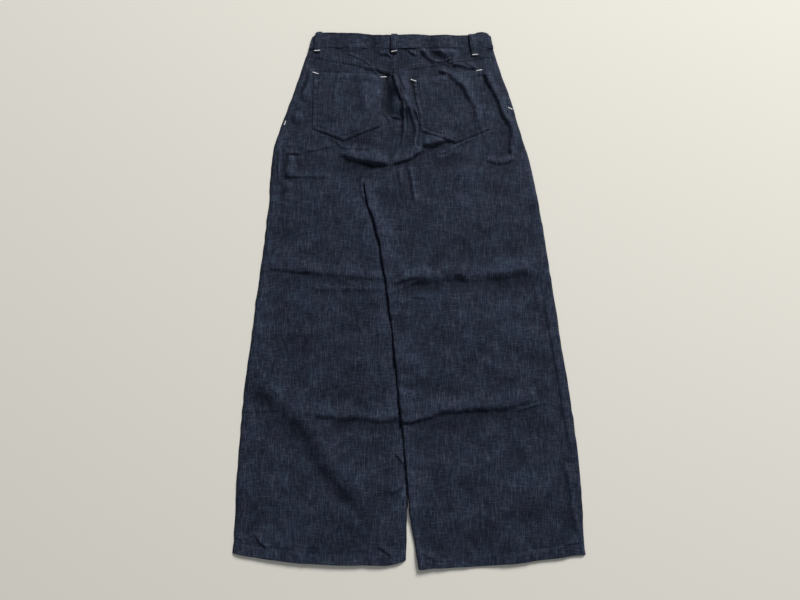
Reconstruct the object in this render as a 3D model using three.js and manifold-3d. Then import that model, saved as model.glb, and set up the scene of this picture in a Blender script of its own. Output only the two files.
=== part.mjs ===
// Baggy jeans, laid flat on their front with the back up and the legs a little apart at the hems.
// Millimetres. +X runs to the wearer's right, +Y from the hems to the waist and +Z up from the floor.
import * as THREE from 'three';
import { mergeVertices } from 'three/addons/utils/BufferGeometryUtils.js';
import Module from 'manifold-3d';

const wasm = await Module();
wasm.setup();

// Cloth and clearances
const WALL = 1.2;
const SEAM_GAP = 0.3;
const EDGE_INSET = 2.4;
const FLAT_HEIGHT = 4.4;
const LOWEST_TOP = 3.2;

// Heights along the garment
const BAND_SEAM = 497;
const YOKE_CENTRE = 442;
const YOKE_SIDE = 479;
const CROTCH = 254;
const CROTCH_BLEND = 18;
const HEM = -520;
const HEM_DEPTH = 22;
const HEM_EXTRA = 0.8;
const FRONT_HEM_SHORT = 1.5;

// Outline of the laid garment: both sides, and the inner edges of the two halves at each height
const OUTLINE = [
  { y: 532, sideLeft: -196, innerLeft: -29, innerRight: -29, sideRight: 170 },
  { y: 497, sideLeft: -204, innerLeft: -30, innerRight: -30, sideRight: 176 },
  { y: 473, sideLeft: -213, innerLeft: -32, innerRight: -32, sideRight: 182 },
  { y: 443, sideLeft: -222, innerLeft: -33, innerRight: -33, sideRight: 191 },
  { y: 410, sideLeft: -232, innerLeft: -26, innerRight: -26, sideRight: 202 },
  { y: 378, sideLeft: -242, innerLeft: -16, innerRight: -16, sideRight: 212 },
  { y: 340, sideLeft: -255, innerLeft: -13, innerRight: -13, sideRight: 222 },
  { y: 300, sideLeft: -268, innerLeft: -14, innerRight: -14, sideRight: 233 },
  { y: 276, sideLeft: -273, innerLeft: -21, innerRight: -21, sideRight: 240 },
  { y: 254, sideLeft: -276, innerLeft: -39, innerRight: -39, sideRight: 245 },
  { y: 236, sideLeft: -277, innerLeft: -68, innerRight: -68, sideRight: 249 },
  { y: 216, sideLeft: -278, innerLeft: -87, innerRight: -87, sideRight: 253 },
  { y: 200, sideLeft: -278, innerLeft: -89, innerRight: -89, sideRight: 256 },
  { y: 166, sideLeft: -279, innerLeft: -82, innerRight: -82, sideRight: 261 },
  { y: 135, sideLeft: -282, innerLeft: -71, innerRight: -71, sideRight: 266 },
  { y: 74, sideLeft: -288, innerLeft: -56, innerRight: -56, sideRight: 274 },
  { y: -32, sideLeft: -300, innerLeft: -40, innerRight: -40, sideRight: 288 },
  { y: -107, sideLeft: -307, innerLeft: -31, innerRight: -31, sideRight: 297 },
  { y: -211, sideLeft: -318, innerLeft: -20, innerRight: -20, sideRight: 311 },
  { y: -334, sideLeft: -325, innerLeft: -7, innerRight: -7, sideRight: 324 },
  { y: -411, sideLeft: -327, innerLeft: -2, innerRight: -1, sideRight: 328 },
  { y: -444, sideLeft: -328, innerLeft: -3, innerRight: 3, sideRight: 328 },
  { y: -484, sideLeft: -329, innerLeft: -4, innerRight: 10, sideRight: 329 },
  { y: -532, sideLeft: -332, innerLeft: -6, innerRight: 18, sideRight: 333 },
];

// Bottom edges of the two legs, and the waistband's seam and upper edge, across the garment
const HEM_LEFT = [
  { x: -331, y: -504 },
  { x: -269, y: -514 },
  { x: -203, y: -521 },
  { x: -45, y: -525 },
  { x: -6, y: -517 },
];
const HEM_RIGHT = [
  { x: 18, y: -532 },
  { x: 82, y: -529 },
  { x: 161, y: -525 },
  { x: 245, y: -516 },
  { x: 331, y: -506 },
];
const BAND = [
  { x: -204, seam: 496, top: 519 },
  { x: -196, seam: 497, top: 526 },
  { x: -183, seam: 498, top: 530 },
  { x: -133, seam: 499, top: 529 },
  { x: -37, seam: 496, top: 523 },
  { x: 46, seam: 498, top: 524 },
  { x: 133, seam: 499, top: 525 },
  { x: 150, seam: 499, top: 531 },
  { x: 166, seam: 498, top: 530 },
  { x: 176, seam: 497, top: 520 },
];

// Largest folds: each runs along its line, with a soft slope on the left of it as it goes,
// and a steep slope on the right that ends in a dip
const FOLDS = [
  { name: 'knee_left', rise: 4, soft: 30, steep: 9, dip: 1.2,
    line: [[-281, 33], [-214, 27], [-137, 29], [-48, 15]] },
  { name: 'knee_right', rise: 7, soft: 34, steep: 9, dip: 1.5,
    line: [[-44, -10], [-15, 6], [40, 17], [111, 19], [255, 34]] },
  { name: 'shin_left', rise: 5, soft: 26, steep: 9, dip: 1.2,
    line: [[-196, -244], [-140, -253], [-53, -263], [-14, -261]] },
  { name: 'shin_right', rise: 5, soft: 26, steep: 9, dip: 1.2,
    line: [[-14, -266], [12, -261], [41, -254], [191, -237], [256, -228]] },
  { name: 'shin_diagonal', rise: 6, soft: 46, steep: 18, dip: 1,
    line: [[-300, -196], [-228, -263], [-156, -353], [-80, -426]] },
  { name: 'crotch_left', rise: 9, soft: 36, steep: 9, dip: 1.2,
    line: [[-128, 258], [-113, 253], [-77, 247], [-43, 250]] },
  { name: 'crotch_right', rise: 11, soft: 32, steep: 9, dip: 1.2,
    line: [[-40, 246], [0, 261], [30, 277], [57, 291], [118, 298]] },
  { name: 'seat_right', rise: 3, soft: 14, steep: 9, dip: 1,
    line: [[38, 262], [89, 280], [136, 304]] },
  { name: 'centre_valley', rise: 7, soft: 18, steep: 9, dip: 1.5,
    line: [[-38, 462], [-25, 408], [-13, 378], [-11, 288]] },
  { name: 'centre_ridge', rise: 6, soft: 13, steep: 9, dip: 1,
    line: [[22, 272], [16, 301], [8, 333], [-2, 375], [-10, 440]] },
  { name: 'hip_left', rise: 4, soft: 10, steep: 9, dip: 1,
    line: [[-244, 318], [-228, 378], [-205, 452]] },
  { name: 'hip_right', rise: 6, soft: 14, steep: 10, dip: 1.5,
    line: [[157, 450], [178, 397], [194, 375], [207, 343], [212, 262]] },
  { name: 'hip_right_end', rise: 4, soft: 24, steep: 9, dip: 1,
    line: [[140, 264], [163, 259], [220, 263]] },
  { name: 'pocket_right', rise: 5, soft: 28, steep: 14, dip: 1,
    line: [[62, 462], [105, 423], [137, 358], [132, 312]] },
  { name: 'thigh_crease', rise: 3, soft: 12, steep: 8, dip: 1,
    line: [[-2, 252], [6, 209], [10, 148]] },
  { name: 'seat_left', rise: 2.5, soft: 18, steep: 9, dip: 0.6,
    line: [[-250, 223], [-200, 222], [-150, 222]] },
  { name: 'calf_right', rise: 3, soft: 9, steep: 8, dip: 0.8,
    line: [[286, -150], [303, -291], [296, -350], [315, -480]] },
];

// Broad soft swells of the cloth
const SWELLS = [
  { name: 'seat_left', x: -150, y: 360, spanX: 70, spanY: 80, rise: 2.0 },
  { name: 'seat_right', x: 85, y: 370, spanX: 60, spanY: 70, rise: 2.0 },
  { name: 'thigh_left', x: -180, y: 130, spanX: 70, spanY: 80, rise: 1.5 },
  { name: 'thigh_right', x: 90, y: 150, spanX: 100, spanY: 90, rise: 2.5 },
  { name: 'calf_left', x: -120, y: -130, spanX: 90, spanY: 80, rise: 1.5 },
  { name: 'calf_right', x: 150, y: -130, spanX: 90, spanY: 80, rise: 1.5 },
  { name: 'hem_left', x: -150, y: -450, spanX: 100, spanY: 60, rise: 1.2 },
  { name: 'hem_right', x: 170, y: -430, spanX: 100, spanY: 70, rise: 1.5 },
];

// The two halves: the right leg's inner edge lies rolled up beside the left leg
const HALVES = {
  left: {
    name: 'left', sign: -1, side: 'sideLeft', inner: 'innerLeft', roll: 1, rollSpan: 26, inseamRadius: 7,
  },
  right: {
    name: 'right', sign: 1, side: 'sideRight', inner: 'innerRight', roll: 6, rollSpan: 44, inseamRadius: 4,
  },
};
const SIDE_RADIUS = 3.5;
const EDGE_ANGLES = [0, 45, 90];

// Waistband, its button and its belt loops
const BAND_WALL = 2.4;
const BAND_STACK = 5.8;
const BAND_ROWS = [0, 0.4, 0.8, 1];
const BAND_STEP = 12;
const BUTTON = { x: -12, y: 510, radius: 8.5, thickness: 1.8, plateau: 11, ramp: 14 };
const OVERLAP = { inner: 18, outer: 17, slope: 11 };
const FRONT_LOOP_OFFSET = 88;
const LOOP = { width: 13, thickness: 1.5, rise: 1.3, clearance: 0.45, over: 2, plateau: 12, ramp: 15 };
const BACK_LOOPS = [
  { name: 'belt_loop_back_left', headX: -184, footX: -187, footY: 490 },
  { name: 'belt_loop_back_centre', headX: -28, footX: -28, footY: 489 },
  { name: 'belt_loop_back_right', headX: 131, footX: 138.5, footY: 480 },
];

// Back pockets, from the upper left corner round to the lower left one, and the front pocket mouths
const POCKETS = {
  left: [[-194, 448], [-46, 440], [-57, 326], [-130, 297], [-194, 322]],
  right: [[8, 433], [151, 455], [165, 321], [95, 291], [28, 316]],
};
const MOUTH_TOP_INSET = 72;
const MOUTH_BOTTOM = { left: 336, right: 350 };

// Spacing of the section rows: close at the heights of the folds that cross both legs
const CLOSE_HEIGHTS = [284, 256, 230, 208, 24, -252];
const CLOSE_STEP = 9;
const OPEN_STEP = 26;
const BACK_COLUMNS = 11;
const FRONT_COLUMNS = 3;

// Colours
const DENIM = 0x2c3140;
const DENIM_EDGE = 0x323849;
const METAL = 0x8d8575;

// Small helpers

const mix = (a, b, t) => a + (b - a) * t;
const clamp = (value, low, high) => Math.min(high, Math.max(low, value));

function smooth(low, high, value) {
  const t = clamp((value - low) / (high - low), 0, 1);
  return t * t * (3 - 2 * t);
}

// A flat top of the given half width that falls away softly on both sides
function plateau(distance, halfWidth, ramp) {
  return 1 - smooth(halfWidth, halfWidth + ramp, Math.abs(distance));
}

// Reads one column of a table at a place between its rows, on a smooth curve through them
function readTable(table, key, column, at) {
  const rows = table[0][key] < table[table.length - 1][key] ? table : [...table].reverse();
  const last = rows.length - 1;
  const place = clamp(at, rows[0][key], rows[last][key]);
  let i = 0;
  while (i < last - 1 && place > rows[i + 1][key]) i += 1;
  const slope = (j) => {
    const before = rows[Math.max(j - 1, 0)];
    const after = rows[Math.min(j + 1, last)];
    return (after[column] - before[column]) / (after[key] - before[key]);
  };
  const span = rows[i + 1][key] - rows[i][key];
  const t = (place - rows[i][key]) / span;
  const a = 2 * t ** 3 - 3 * t ** 2 + 1;
  const b = t ** 3 - 2 * t ** 2 + t;
  const c = -2 * t ** 3 + 3 * t ** 2;
  const d = t ** 3 - t ** 2;
  return a * rows[i][column] + b * span * slope(i) + c * rows[i + 1][column] + d * span * slope(i + 1);
}

// Form of the cloth

// Height that one fold adds at a point, fading out towards both ends of its line
function foldHeight(fold, x, y) {
  let best = { distance: Infinity, signed: 0, along: 0 };
  let walked = 0;
  for (let i = 0; i + 1 < fold.line.length; i += 1) {
    const [x0, y0] = fold.line[i];
    const [x1, y1] = fold.line[i + 1];
    const length = Math.hypot(x1 - x0, y1 - y0);
    const t = clamp(((x - x0) * (x1 - x0) + (y - y0) * (y1 - y0)) / length ** 2, 0, 1);
    const offX = x - mix(x0, x1, t);
    const offY = y - mix(y0, y1, t);
    const distance = Math.hypot(offX, offY);
    if (distance < best.distance) {
      const cross = (x1 - x0) * offY - (y1 - y0) * offX;
      best = { distance, signed: cross >= 0 ? distance : -distance, along: walked + t * length };
    }
    walked += length;
  }
  const fade = Math.min(30, walked * 0.35);
  const taper = smooth(0, fade, best.along) * (1 - smooth(walked - fade, walked, best.along));
  const width = best.signed >= 0 ? fold.soft : fold.steep;
  const ridge = fold.rise * Math.exp(-((best.signed / width) ** 2));
  const trough = fold.dip * Math.exp(-(((best.signed + 1.9 * fold.steep) / fold.steep) ** 2));
  return taper * (ridge - trough);
}

// Height that the button and the overlapped band ends add to the waist
function waistLift(x) {
  const centre = 4.8 * plateau(x - BUTTON.x, 26, 44);
  const loops = [-1, 1].map((s) => 1.9 * plateau(x - BUTTON.x - s * FRONT_LOOP_OFFSET, 10, 28));
  return Math.max(centre, ...loops);
}

// Outer face of the upper layer, before its edges turn down
function clothTop(half, x, y) {
  let z = FLAT_HEIGHT + waistLift(x) * smooth(430, BAND_SEAM, y);
  const bandFade = 1 - smooth(468, 486, y);
  for (const fold of FOLDS) z += foldHeight(fold, x, y) * bandFade;
  for (const swell of SWELLS) {
    z += swell.rise * Math.exp(-(((x - swell.x) / swell.spanX) ** 2) - ((y - swell.y) / swell.spanY) ** 2);
  }
  const below = 1 - smooth(CROTCH - 34, CROTCH - 4, y);
  const fading = mix(0.45, 1, smooth(HEM + 60, -250, y));
  const inner = readTable(OUTLINE, 'y', half.inner, y);
  z += half.roll * below * fading * Math.exp(-(((x - inner) / half.rollSpan) ** 2));
  return Math.max(z, LOWEST_TOP);
}

function clothNormal(half, x, y) {
  const step = 1.5;
  const slopeX = (clothTop(half, x + step, y) - clothTop(half, x - step, y)) / (2 * step);
  const slopeY = (clothTop(half, x, y + step) - clothTop(half, x, y - step)) / (2 * step);
  return new THREE.Vector3(-slopeX, -slopeY, 1).normalize();
}

// Lines that rows of points follow

const bandSeamAt = (x) => readTable(BAND, 'x', 'seam', x);

function yokeSeamAt(half, x) {
  const centre = readTable(OUTLINE, 'y', half.inner, YOKE_CENTRE);
  const side = readTable(OUTLINE, 'y', half.side, YOKE_SIDE);
  return mix(YOKE_CENTRE, YOKE_SIDE, clamp((x - centre) / (side - centre), 0, 1));
}

function hemAt(half, x) {
  return readTable(half.name === 'left' ? HEM_LEFT : HEM_RIGHT, 'x', 'y', x);
}

// A row's real height at x: it bends to the hem's line near the hem
function legRow(half, y, x) {
  return y + (hemAt(half, x) - HEM) * (1 - smooth(HEM, HEM + 130, y));
}

// Rows of the leg panels bend to the yoke's seam at their upper end
function backRow(half, y, x) {
  const yoke = yokeSeamAt(half, x) - SEAM_GAP / 2 - YOKE_CENTRE;
  return legRow(half, y, x) + yoke * smooth(YOKE_CENTRE - 120, YOKE_CENTRE, y);
}

// Rows of the fronts bend to the waistband's seam at their upper end
function frontRow(half, y, x) {
  const seam = bandSeamAt(x) - SEAM_GAP - BAND_SEAM;
  const short = FRONT_HEM_SHORT * (1 - smooth(HEM, HEM + 40, y));
  return legRow(half, y, x) + seam * smooth(YOKE_CENTRE, BAND_SEAM, y) + short;
}

// Rows of the yokes run between their two seams
function yokeRow(half, part, x) {
  return mix(bandSeamAt(x) - SEAM_GAP, yokeSeamAt(half, x) + SEAM_GAP / 2, part);
}

function sectionHeights(top) {
  const heights = [top];
  let y = top;
  while (y > HEM + HEM_DEPTH + OPEN_STEP) {
    const near = Math.min(...CLOSE_HEIGHTS.map((height) => Math.abs(height - y)));
    y -= clamp(CLOSE_STEP + 0.3 * Math.max(near - 12, 0), CLOSE_STEP, OPEN_STEP);
    heights.push(y);
  }
  return [...heights, HEM + HEM_DEPTH + 1, HEM + HEM_DEPTH, HEM + 10, HEM];
}

// Where a row that bends meets one of the half's edges
function edgePoint(half, column, rowAt, inset) {
  let x = readTable(OUTLINE, 'y', column, 0);
  let y = 0;
  for (let turn = 0; turn < 4; turn += 1) {
    y = rowAt(x);
    x = readTable(OUTLINE, 'y', column, y) + inset;
  }
  return { x, y };
}

// Solids

function geometryOf(points, triangles) {
  let volume = 0;
  const [a, b, c] = [new THREE.Vector3(), new THREE.Vector3(), new THREE.Vector3()];
  for (const [i, j, k] of triangles) {
    volume += a.copy(points[i]).dot(b.copy(points[j]).cross(c.copy(points[k])));
  }
  const outward = volume >= 0 ? triangles : triangles.map(([i, j, k]) => [i, k, j]);
  const geometry = new THREE.BufferGeometry();
  const positions = new Float32Array(points.flatMap((point) => point.toArray()));
  geometry.setAttribute('position', new THREE.BufferAttribute(positions, 3));
  geometry.setIndex(outward.flat());
  geometry.computeVertexNormals();
  return geometry;
}

// A sheet of cloth as one closed solid: two grids of points, joined round their four edges
function sheetSolid(outer, inner) {
  const rows = outer.length;
  const columns = outer[0].length;
  const points = [...outer.flat(), ...inner.flat()];
  const top = (r, c) => r * columns + c;
  const under = (r, c) => rows * columns + r * columns + c;
  const triangles = [];
  const quad = (a, b, c, d) => triangles.push([a, b, c], [a, c, d]);
  for (let r = 0; r + 1 < rows; r += 1) {
    for (let c = 0; c + 1 < columns; c += 1) {
      quad(top(r, c), top(r, c + 1), top(r + 1, c + 1), top(r + 1, c));
      quad(under(r, c), under(r + 1, c), under(r + 1, c + 1), under(r, c + 1));
    }
    const end = columns - 1;
    quad(top(r, 0), top(r + 1, 0), under(r + 1, 0), under(r, 0));
    quad(top(r, end), under(r, end), under(r + 1, end), top(r + 1, end));
  }
  for (let c = 0; c + 1 < columns; c += 1) {
    const end = rows - 1;
    quad(top(0, c), under(0, c), under(0, c + 1), top(0, c + 1));
    quad(top(end, c), top(end, c + 1), under(end, c + 1), under(end, c));
  }
  return geometryOf(points, triangles);
}

function toManifold(geometry) {
  const bare = geometry.clone();
  bare.deleteAttribute('normal');
  bare.deleteAttribute('uv');
  const merged = mergeVertices(bare);
  const vertProperties = new Float32Array(merged.attributes.position.array);
  const triVerts = new Uint32Array(merged.index.array);
  return new wasm.Manifold(new wasm.Mesh({ numProp: 3, vertProperties, triVerts }));
}

function fromManifold(solid) {
  const { vertProperties, triVerts, numProp } = solid.getMesh();
  const points = [];
  for (let i = 0; i < vertProperties.length; i += numProp) {
    points.push(new THREE.Vector3(vertProperties[i], vertProperties[i + 1], vertProperties[i + 2]));
  }
  const triangles = [];
  for (let i = 0; i < triVerts.length; i += 3) {
    triangles.push([triVerts[i], triVerts[i + 1], triVerts[i + 2]]);
  }
  return geometryOf(points, triangles);
}

const jeans = new THREE.Group();

function addPiece(name, geometry, color, roughness = 0.9, metalness = 0) {
  const material = new THREE.MeshStandardMaterial({ color, roughness, metalness });
  const piece = new THREE.Mesh(geometry, material);
  piece.name = name;
  jeans.add(piece);
}

// Upper layer: a row of points from the side edge, round and up, over to the inner edge
function upperRow(half, rowAt, extra) {
  const side = edgePoint(half, half.side, rowAt, 0);
  const inner = edgePoint(half, half.inner, rowAt, half.sign * SEAM_GAP / 2);
  const open = 1 - smooth(CROTCH - CROTCH_BLEND, CROTCH, inner.y);
  const places = [];
  for (const angle of EDGE_ANGLES) {
    const turn = THREE.MathUtils.degToRad(angle);
    const x = side.x - half.sign * SIDE_RADIUS * (1 - Math.cos(turn));
    places.push({ x, turn, outward: half.sign, open: 1 });
  }
  const from = side.x - half.sign * SIDE_RADIUS;
  const to = inner.x + half.sign * half.inseamRadius;
  for (let column = 1; column < BACK_COLUMNS; column += 1) {
    places.push({ x: mix(from, to, column / BACK_COLUMNS), turn: Math.PI / 2, outward: 0, open: 0 });
  }
  for (const angle of [...EDGE_ANGLES].reverse()) {
    const turn = THREE.MathUtils.degToRad(angle);
    const x = inner.x + half.sign * half.inseamRadius * (1 - Math.cos(turn));
    places.push({ x, turn, outward: -half.sign, open });
  }
  return places.map(({ x, turn, outward, open: turned }) => {
    const y = rowAt(x);
    const level = 1 - turned * (1 - Math.sin(turn));
    const height = clothTop(half, x, y);
    const normal = clothNormal(half, x, y).multiplyScalar(level);
    normal.x += outward * turned * Math.cos(turn);
    normal.normalize();
    const outer = new THREE.Vector3(x, y, height * level);
    const under = outer.clone().addScaledVector(normal, -WALL);
    under.z = Math.max(under.z, 0);
    if (extra > 0) outer.addScaledVector(normal, extra * level);
    return { outer, under };
  });
}

function upperPanel(rows) {
  const outer = rows.map((row) => row.map((place) => place.outer));
  const under = rows.map((row) => row.map((place) => place.under));
  return { outer, solid: sheetSolid(outer, under) };
}

function backPanel(half) {
  const rows = sectionHeights(YOKE_CENTRE).map((y) => {
    const extra = y <= HEM + HEM_DEPTH ? HEM_EXTRA : 0;
    return upperRow(half, (x) => backRow(half, y, x), extra);
  });
  return upperPanel(rows);
}

function yokePanel(half) {
  const parts = [0, 0.3, 0.65, 1];
  const rows = parts.map((part) => upperRow(half, (x) => yokeRow(half, part, x), 0));
  return upperPanel(rows).solid;
}

// Lower layer: flat on the floor, a little inside the turned edges of the upper one
function lowerSheet(rows) {
  const lift = new THREE.Vector3(0, 0, WALL);
  const top = rows.map((row) => row.map((point) => point.clone().add(lift)));
  return sheetSolid(top, rows);
}

function mouthAt(half, y) {
  const bottom = MOUTH_BOTTOM[half.name];
  const foot = readTable(OUTLINE, 'y', half.side, bottom) - half.sign * EDGE_INSET;
  const head = readTable(OUTLINE, 'y', half.side, BAND_SEAM) - half.sign * MOUTH_TOP_INSET;
  return mix(foot, head, clamp((y - bottom) / (BAND_SEAM - bottom), 0, 1));
}

function lowerEdges(half, rowAt) {
  const parted = 1 - smooth(CROTCH + 4, CROTCH + 14, rowAt(readTable(OUTLINE, 'y', half.inner, CROTCH)));
  const inset = mix(SEAM_GAP / 2, EDGE_INSET, parted);
  const side = edgePoint(half, half.side, rowAt, -half.sign * EDGE_INSET);
  const inner = edgePoint(half, half.inner, rowAt, half.sign * inset);
  return { side, inner };
}

function frontPanel(half) {
  const rows = sectionHeights(BAND_SEAM).map((y) => {
    const rowAt = (x) => frontRow(half, y, x);
    const { side, inner } = lowerEdges(half, rowAt);
    const start = side.y > MOUTH_BOTTOM[half.name] ? mouthAt(half, side.y) : side.x;
    const row = [];
    for (let column = 0; column <= FRONT_COLUMNS; column += 1) {
      const x = mix(start, inner.x, column / FRONT_COLUMNS);
      row.push(new THREE.Vector3(x, rowAt(x), 0));
    }
    return row;
  });
  return lowerSheet(rows);
}

function pocketFacing(half) {
  const bottom = MOUTH_BOTTOM[half.name] + 8;
  const heights = sectionHeights(BAND_SEAM).filter((y) => y > bottom + 6);
  const rows = [...heights, bottom].map((y) => {
    const rowAt = (x) => frontRow(half, y, x);
    const { side } = lowerEdges(half, rowAt);
    const mouth = mouthAt(half, side.y) + half.sign * 2 * SEAM_GAP;
    return [side.x, mix(side.x, mouth, 0.5), mouth].map((x) => new THREE.Vector3(x, rowAt(x), 0));
  });
  return lowerSheet(rows);
}

// Patch pocket: the panel's own points, moved out, cut to the pocket's outline
function patchPocket(half, panel) {
  const shape = new THREE.Shape(POCKETS[half.name].map(([x, y]) => new THREE.Vector2(x, y)));
  const cutter = new THREE.ExtrudeGeometry(shape, { depth: 80, bevelEnabled: false });
  const first = EDGE_ANGLES.length - 1;
  const last = first + BACK_COLUMNS;
  const reach = panel.filter((row) => row[first].y > 240);
  const raised = (lift) => reach.map((row) => row.slice(first, last + 1).map((point) => {
    return point.clone().setZ(point.z + lift);
  }));
  const skin = sheetSolid(raised(SEAM_GAP + WALL), raised(SEAM_GAP));
  return fromManifold(toManifold(skin).intersect(toManifold(cutter)));
}

// Waistband

const buttonLift = (x) => (BUTTON.thickness + 0.4) * plateau(x - BUTTON.x, BUTTON.plateau, BUTTON.ramp);

function bandLift(x) {
  const loops = [-1, 1].map((s) => {
    const away = x - BUTTON.x - s * FRONT_LOOP_OFFSET;
    return (LOOP.thickness + 0.4) * plateau(away, LOOP.plateau, LOOP.ramp);
  });
  return Math.max(buttonLift(x), ...loops);
}

const bandTop = (x) => BAND_STACK + waistLift(x);

function stepsBetween(from, to, step) {
  const count = Math.max(1, Math.round(Math.abs(to - from) / step));
  return Array.from({ length: count + 1 }, (_, i) => mix(from, to, i / count));
}

// Middle line of the band, seen along the garment: inner end, left fold, upper layer, right fold, outer end
function bandLine() {
  const half = BAND_WALL / 2;
  const left = readTable(OUTLINE, 'y', 'sideLeft', BAND_SEAM) + BAND_STACK / 2;
  const right = readTable(OUTLINE, 'y', 'sideRight', BAND_SEAM) - BAND_STACK / 2;
  const low = (x) => bandLift(x) + half;
  const high = (x) => bandTop(x) - half;
  const line = [];
  const innerEnd = BUTTON.x + OVERLAP.inner;
  const slopeTop = BUTTON.x - OVERLAP.outer - 2;
  for (const x of stepsBetween(innerEnd, slopeTop, BAND_STEP)) {
    line.push([x, low(x) + BAND_WALL + SEAM_GAP]);
  }
  for (const x of stepsBetween(slopeTop - OVERLAP.slope, left, BAND_STEP)) line.push([x, low(x)]);
  const fold = (centre, outward, from, to) => {
    const radius = (BAND_STACK - BAND_WALL) / 2;
    for (const angle of stepsBetween(from, to, 36).slice(1, -1)) {
      const turn = THREE.MathUtils.degToRad(angle);
      line.push([centre + outward * radius * Math.cos(turn), BAND_STACK / 2 + radius * Math.sin(turn)]);
    }
  };
  fold(left, -1, -90, 90);
  for (const x of stepsBetween(left, right, BAND_STEP)) line.push([x, high(x)]);
  fold(right, 1, 90, -90);
  for (const x of stepsBetween(right, BUTTON.x - OVERLAP.outer, BAND_STEP)) line.push([x, low(x)]);
  return line.map(([x, z]) => new THREE.Vector2(x, z));
}

function bandPoint(x, z, part) {
  const seam = bandSeamAt(x);
  const y = mix(seam, readTable(BAND, 'x', 'top', x), part);
  const base = readTable(OUTLINE, 'y', x < BUTTON.x ? 'sideLeft' : 'sideRight', BAND_SEAM);
  const narrowed = readTable(OUTLINE, 'y', x < BUTTON.x ? 'sideLeft' : 'sideRight', y);
  const shift = (narrowed - base) * ((x - BUTTON.x) / (base - BUTTON.x));
  return new THREE.Vector3(x + shift, y, z);
}

function waistband() {
  const line = bandLine();
  const sides = line.map((point, i) => {
    const before = line[Math.max(i - 1, 0)];
    const after = line[Math.min(i + 1, line.length - 1)];
    const along = after.clone().sub(before).normalize();
    return new THREE.Vector2(along.y, -along.x).multiplyScalar(BAND_WALL / 2);
  });
  const grid = (way) => line.map((point, i) => {
    const edge = point.clone().addScaledVector(sides[i], way);
    return BAND_ROWS.map((part) => bandPoint(edge.x, Math.max(edge.y, 0), part));
  });
  return sheetSolid(grid(1), grid(-1));
}

function waistButton() {
  const edge = BUTTON.thickness * 0.3;
  const profile = [
    [0, 0], [BUTTON.radius - edge, 0], [BUTTON.radius, edge],
    [BUTTON.radius, BUTTON.thickness - edge], [BUTTON.radius - edge, BUTTON.thickness], [0, BUTTON.thickness],
  ].map(([r, z]) => new THREE.Vector2(r, z));
  const geometry = new THREE.LatheGeometry(profile, 24);
  geometry.rotateX(Math.PI / 2);
  return geometry.translate(BUTTON.x, BUTTON.y, 0);
}

// Belt loops

// A slanted strip that stands a little off the band and is sewn down at both ends
function backLoop({ headX, footX, footY }) {
  const seam = bandSeamAt(footX);
  const headY = readTable(BAND, 'x', 'top', headX) + LOOP.over;
  const half = footX < readTable(OUTLINE, 'y', 'innerLeft', seam) ? HALVES.left : HALVES.right;
  const onBand = [0, 0.25, 0.6].map((part) => mix(headY, seam, part));
  const onYoke = [0, 0.6, 1].map((part) => mix(seam - 2, footY, part));
  const rows = [...onBand, ...onYoke].map((height) => {
    const part = (height - footY) / (headY - footY);
    const places = [-0.5, 0, 0.5].map((away) => {
      const x = mix(footX, headX, part) + away * LOOP.width;
      return { x, y: mix(footY, readTable(BAND, 'x', 'top', x) + LOOP.over, part) };
    });
    const supports = places.map(({ x, y }) => (height > seam - 3 ? bandTop(x) : clothTop(half, x, y)));
    return { places, z: Math.max(...supports) + LOOP.clearance + LOOP.rise * Math.sin(Math.PI * part) };
  });
  const grid = (lift) => rows.map(({ places, z }) => {
    return places.map(({ x, y }) => new THREE.Vector3(x, y, z + lift));
  });
  return sheetSolid(grid(LOOP.thickness), grid(0));
}

// The two loops on the front lie under the band, flat on the floor
function frontLoop(side) {
  const x = BUTTON.x + side * FRONT_LOOP_OFFSET;
  const across = [-0.5, 0.5].map((part) => x + part * LOOP.width);
  const heights = [readTable(BAND, 'x', 'top', x) - 1, bandSeamAt(x) + 1];
  const grid = (z) => heights.map((y) => across.map((place) => new THREE.Vector3(place, y, z)));
  return sheetSolid(grid(LOOP.thickness), grid(0));
}

// Assembly

for (const half of Object.values(HALVES)) {
  const back = backPanel(half);
  addPiece(`back_${half.name}`, back.solid, DENIM);
  addPiece(`yoke_${half.name}`, yokePanel(half), DENIM);
  addPiece(`back_pocket_${half.name}`, patchPocket(half, back.outer), DENIM_EDGE);
  addPiece(`front_${half.name}`, frontPanel(half), DENIM);
  addPiece(`pocket_facing_${half.name}`, pocketFacing(half), DENIM_EDGE);
}
addPiece('waistband', waistband(), DENIM_EDGE);
for (const loop of BACK_LOOPS) addPiece(loop.name, backLoop(loop), DENIM_EDGE);
addPiece('belt_loop_front_left', frontLoop(-1), DENIM_EDGE);
addPiece('belt_loop_front_right', frontLoop(1), DENIM_EDGE);
addPiece('waist_button', waistButton(), METAL, 0.4, 0.9);

export default jeans;
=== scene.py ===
"""Baggy jeans in dark slub denim, laid flat on their front with the back up.

Sizes are in millimetres in the part's own frame: +X runs to the wearer's right, +Y from the hems to
the waist and +Z up from the floor. MM turns them into metres where a mesh is made.
"""

import logging
import math
from dataclasses import dataclass, field
from enum import Enum
from functools import lru_cache
from typing import Callable, ClassVar, NamedTuple, Sequence

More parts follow.
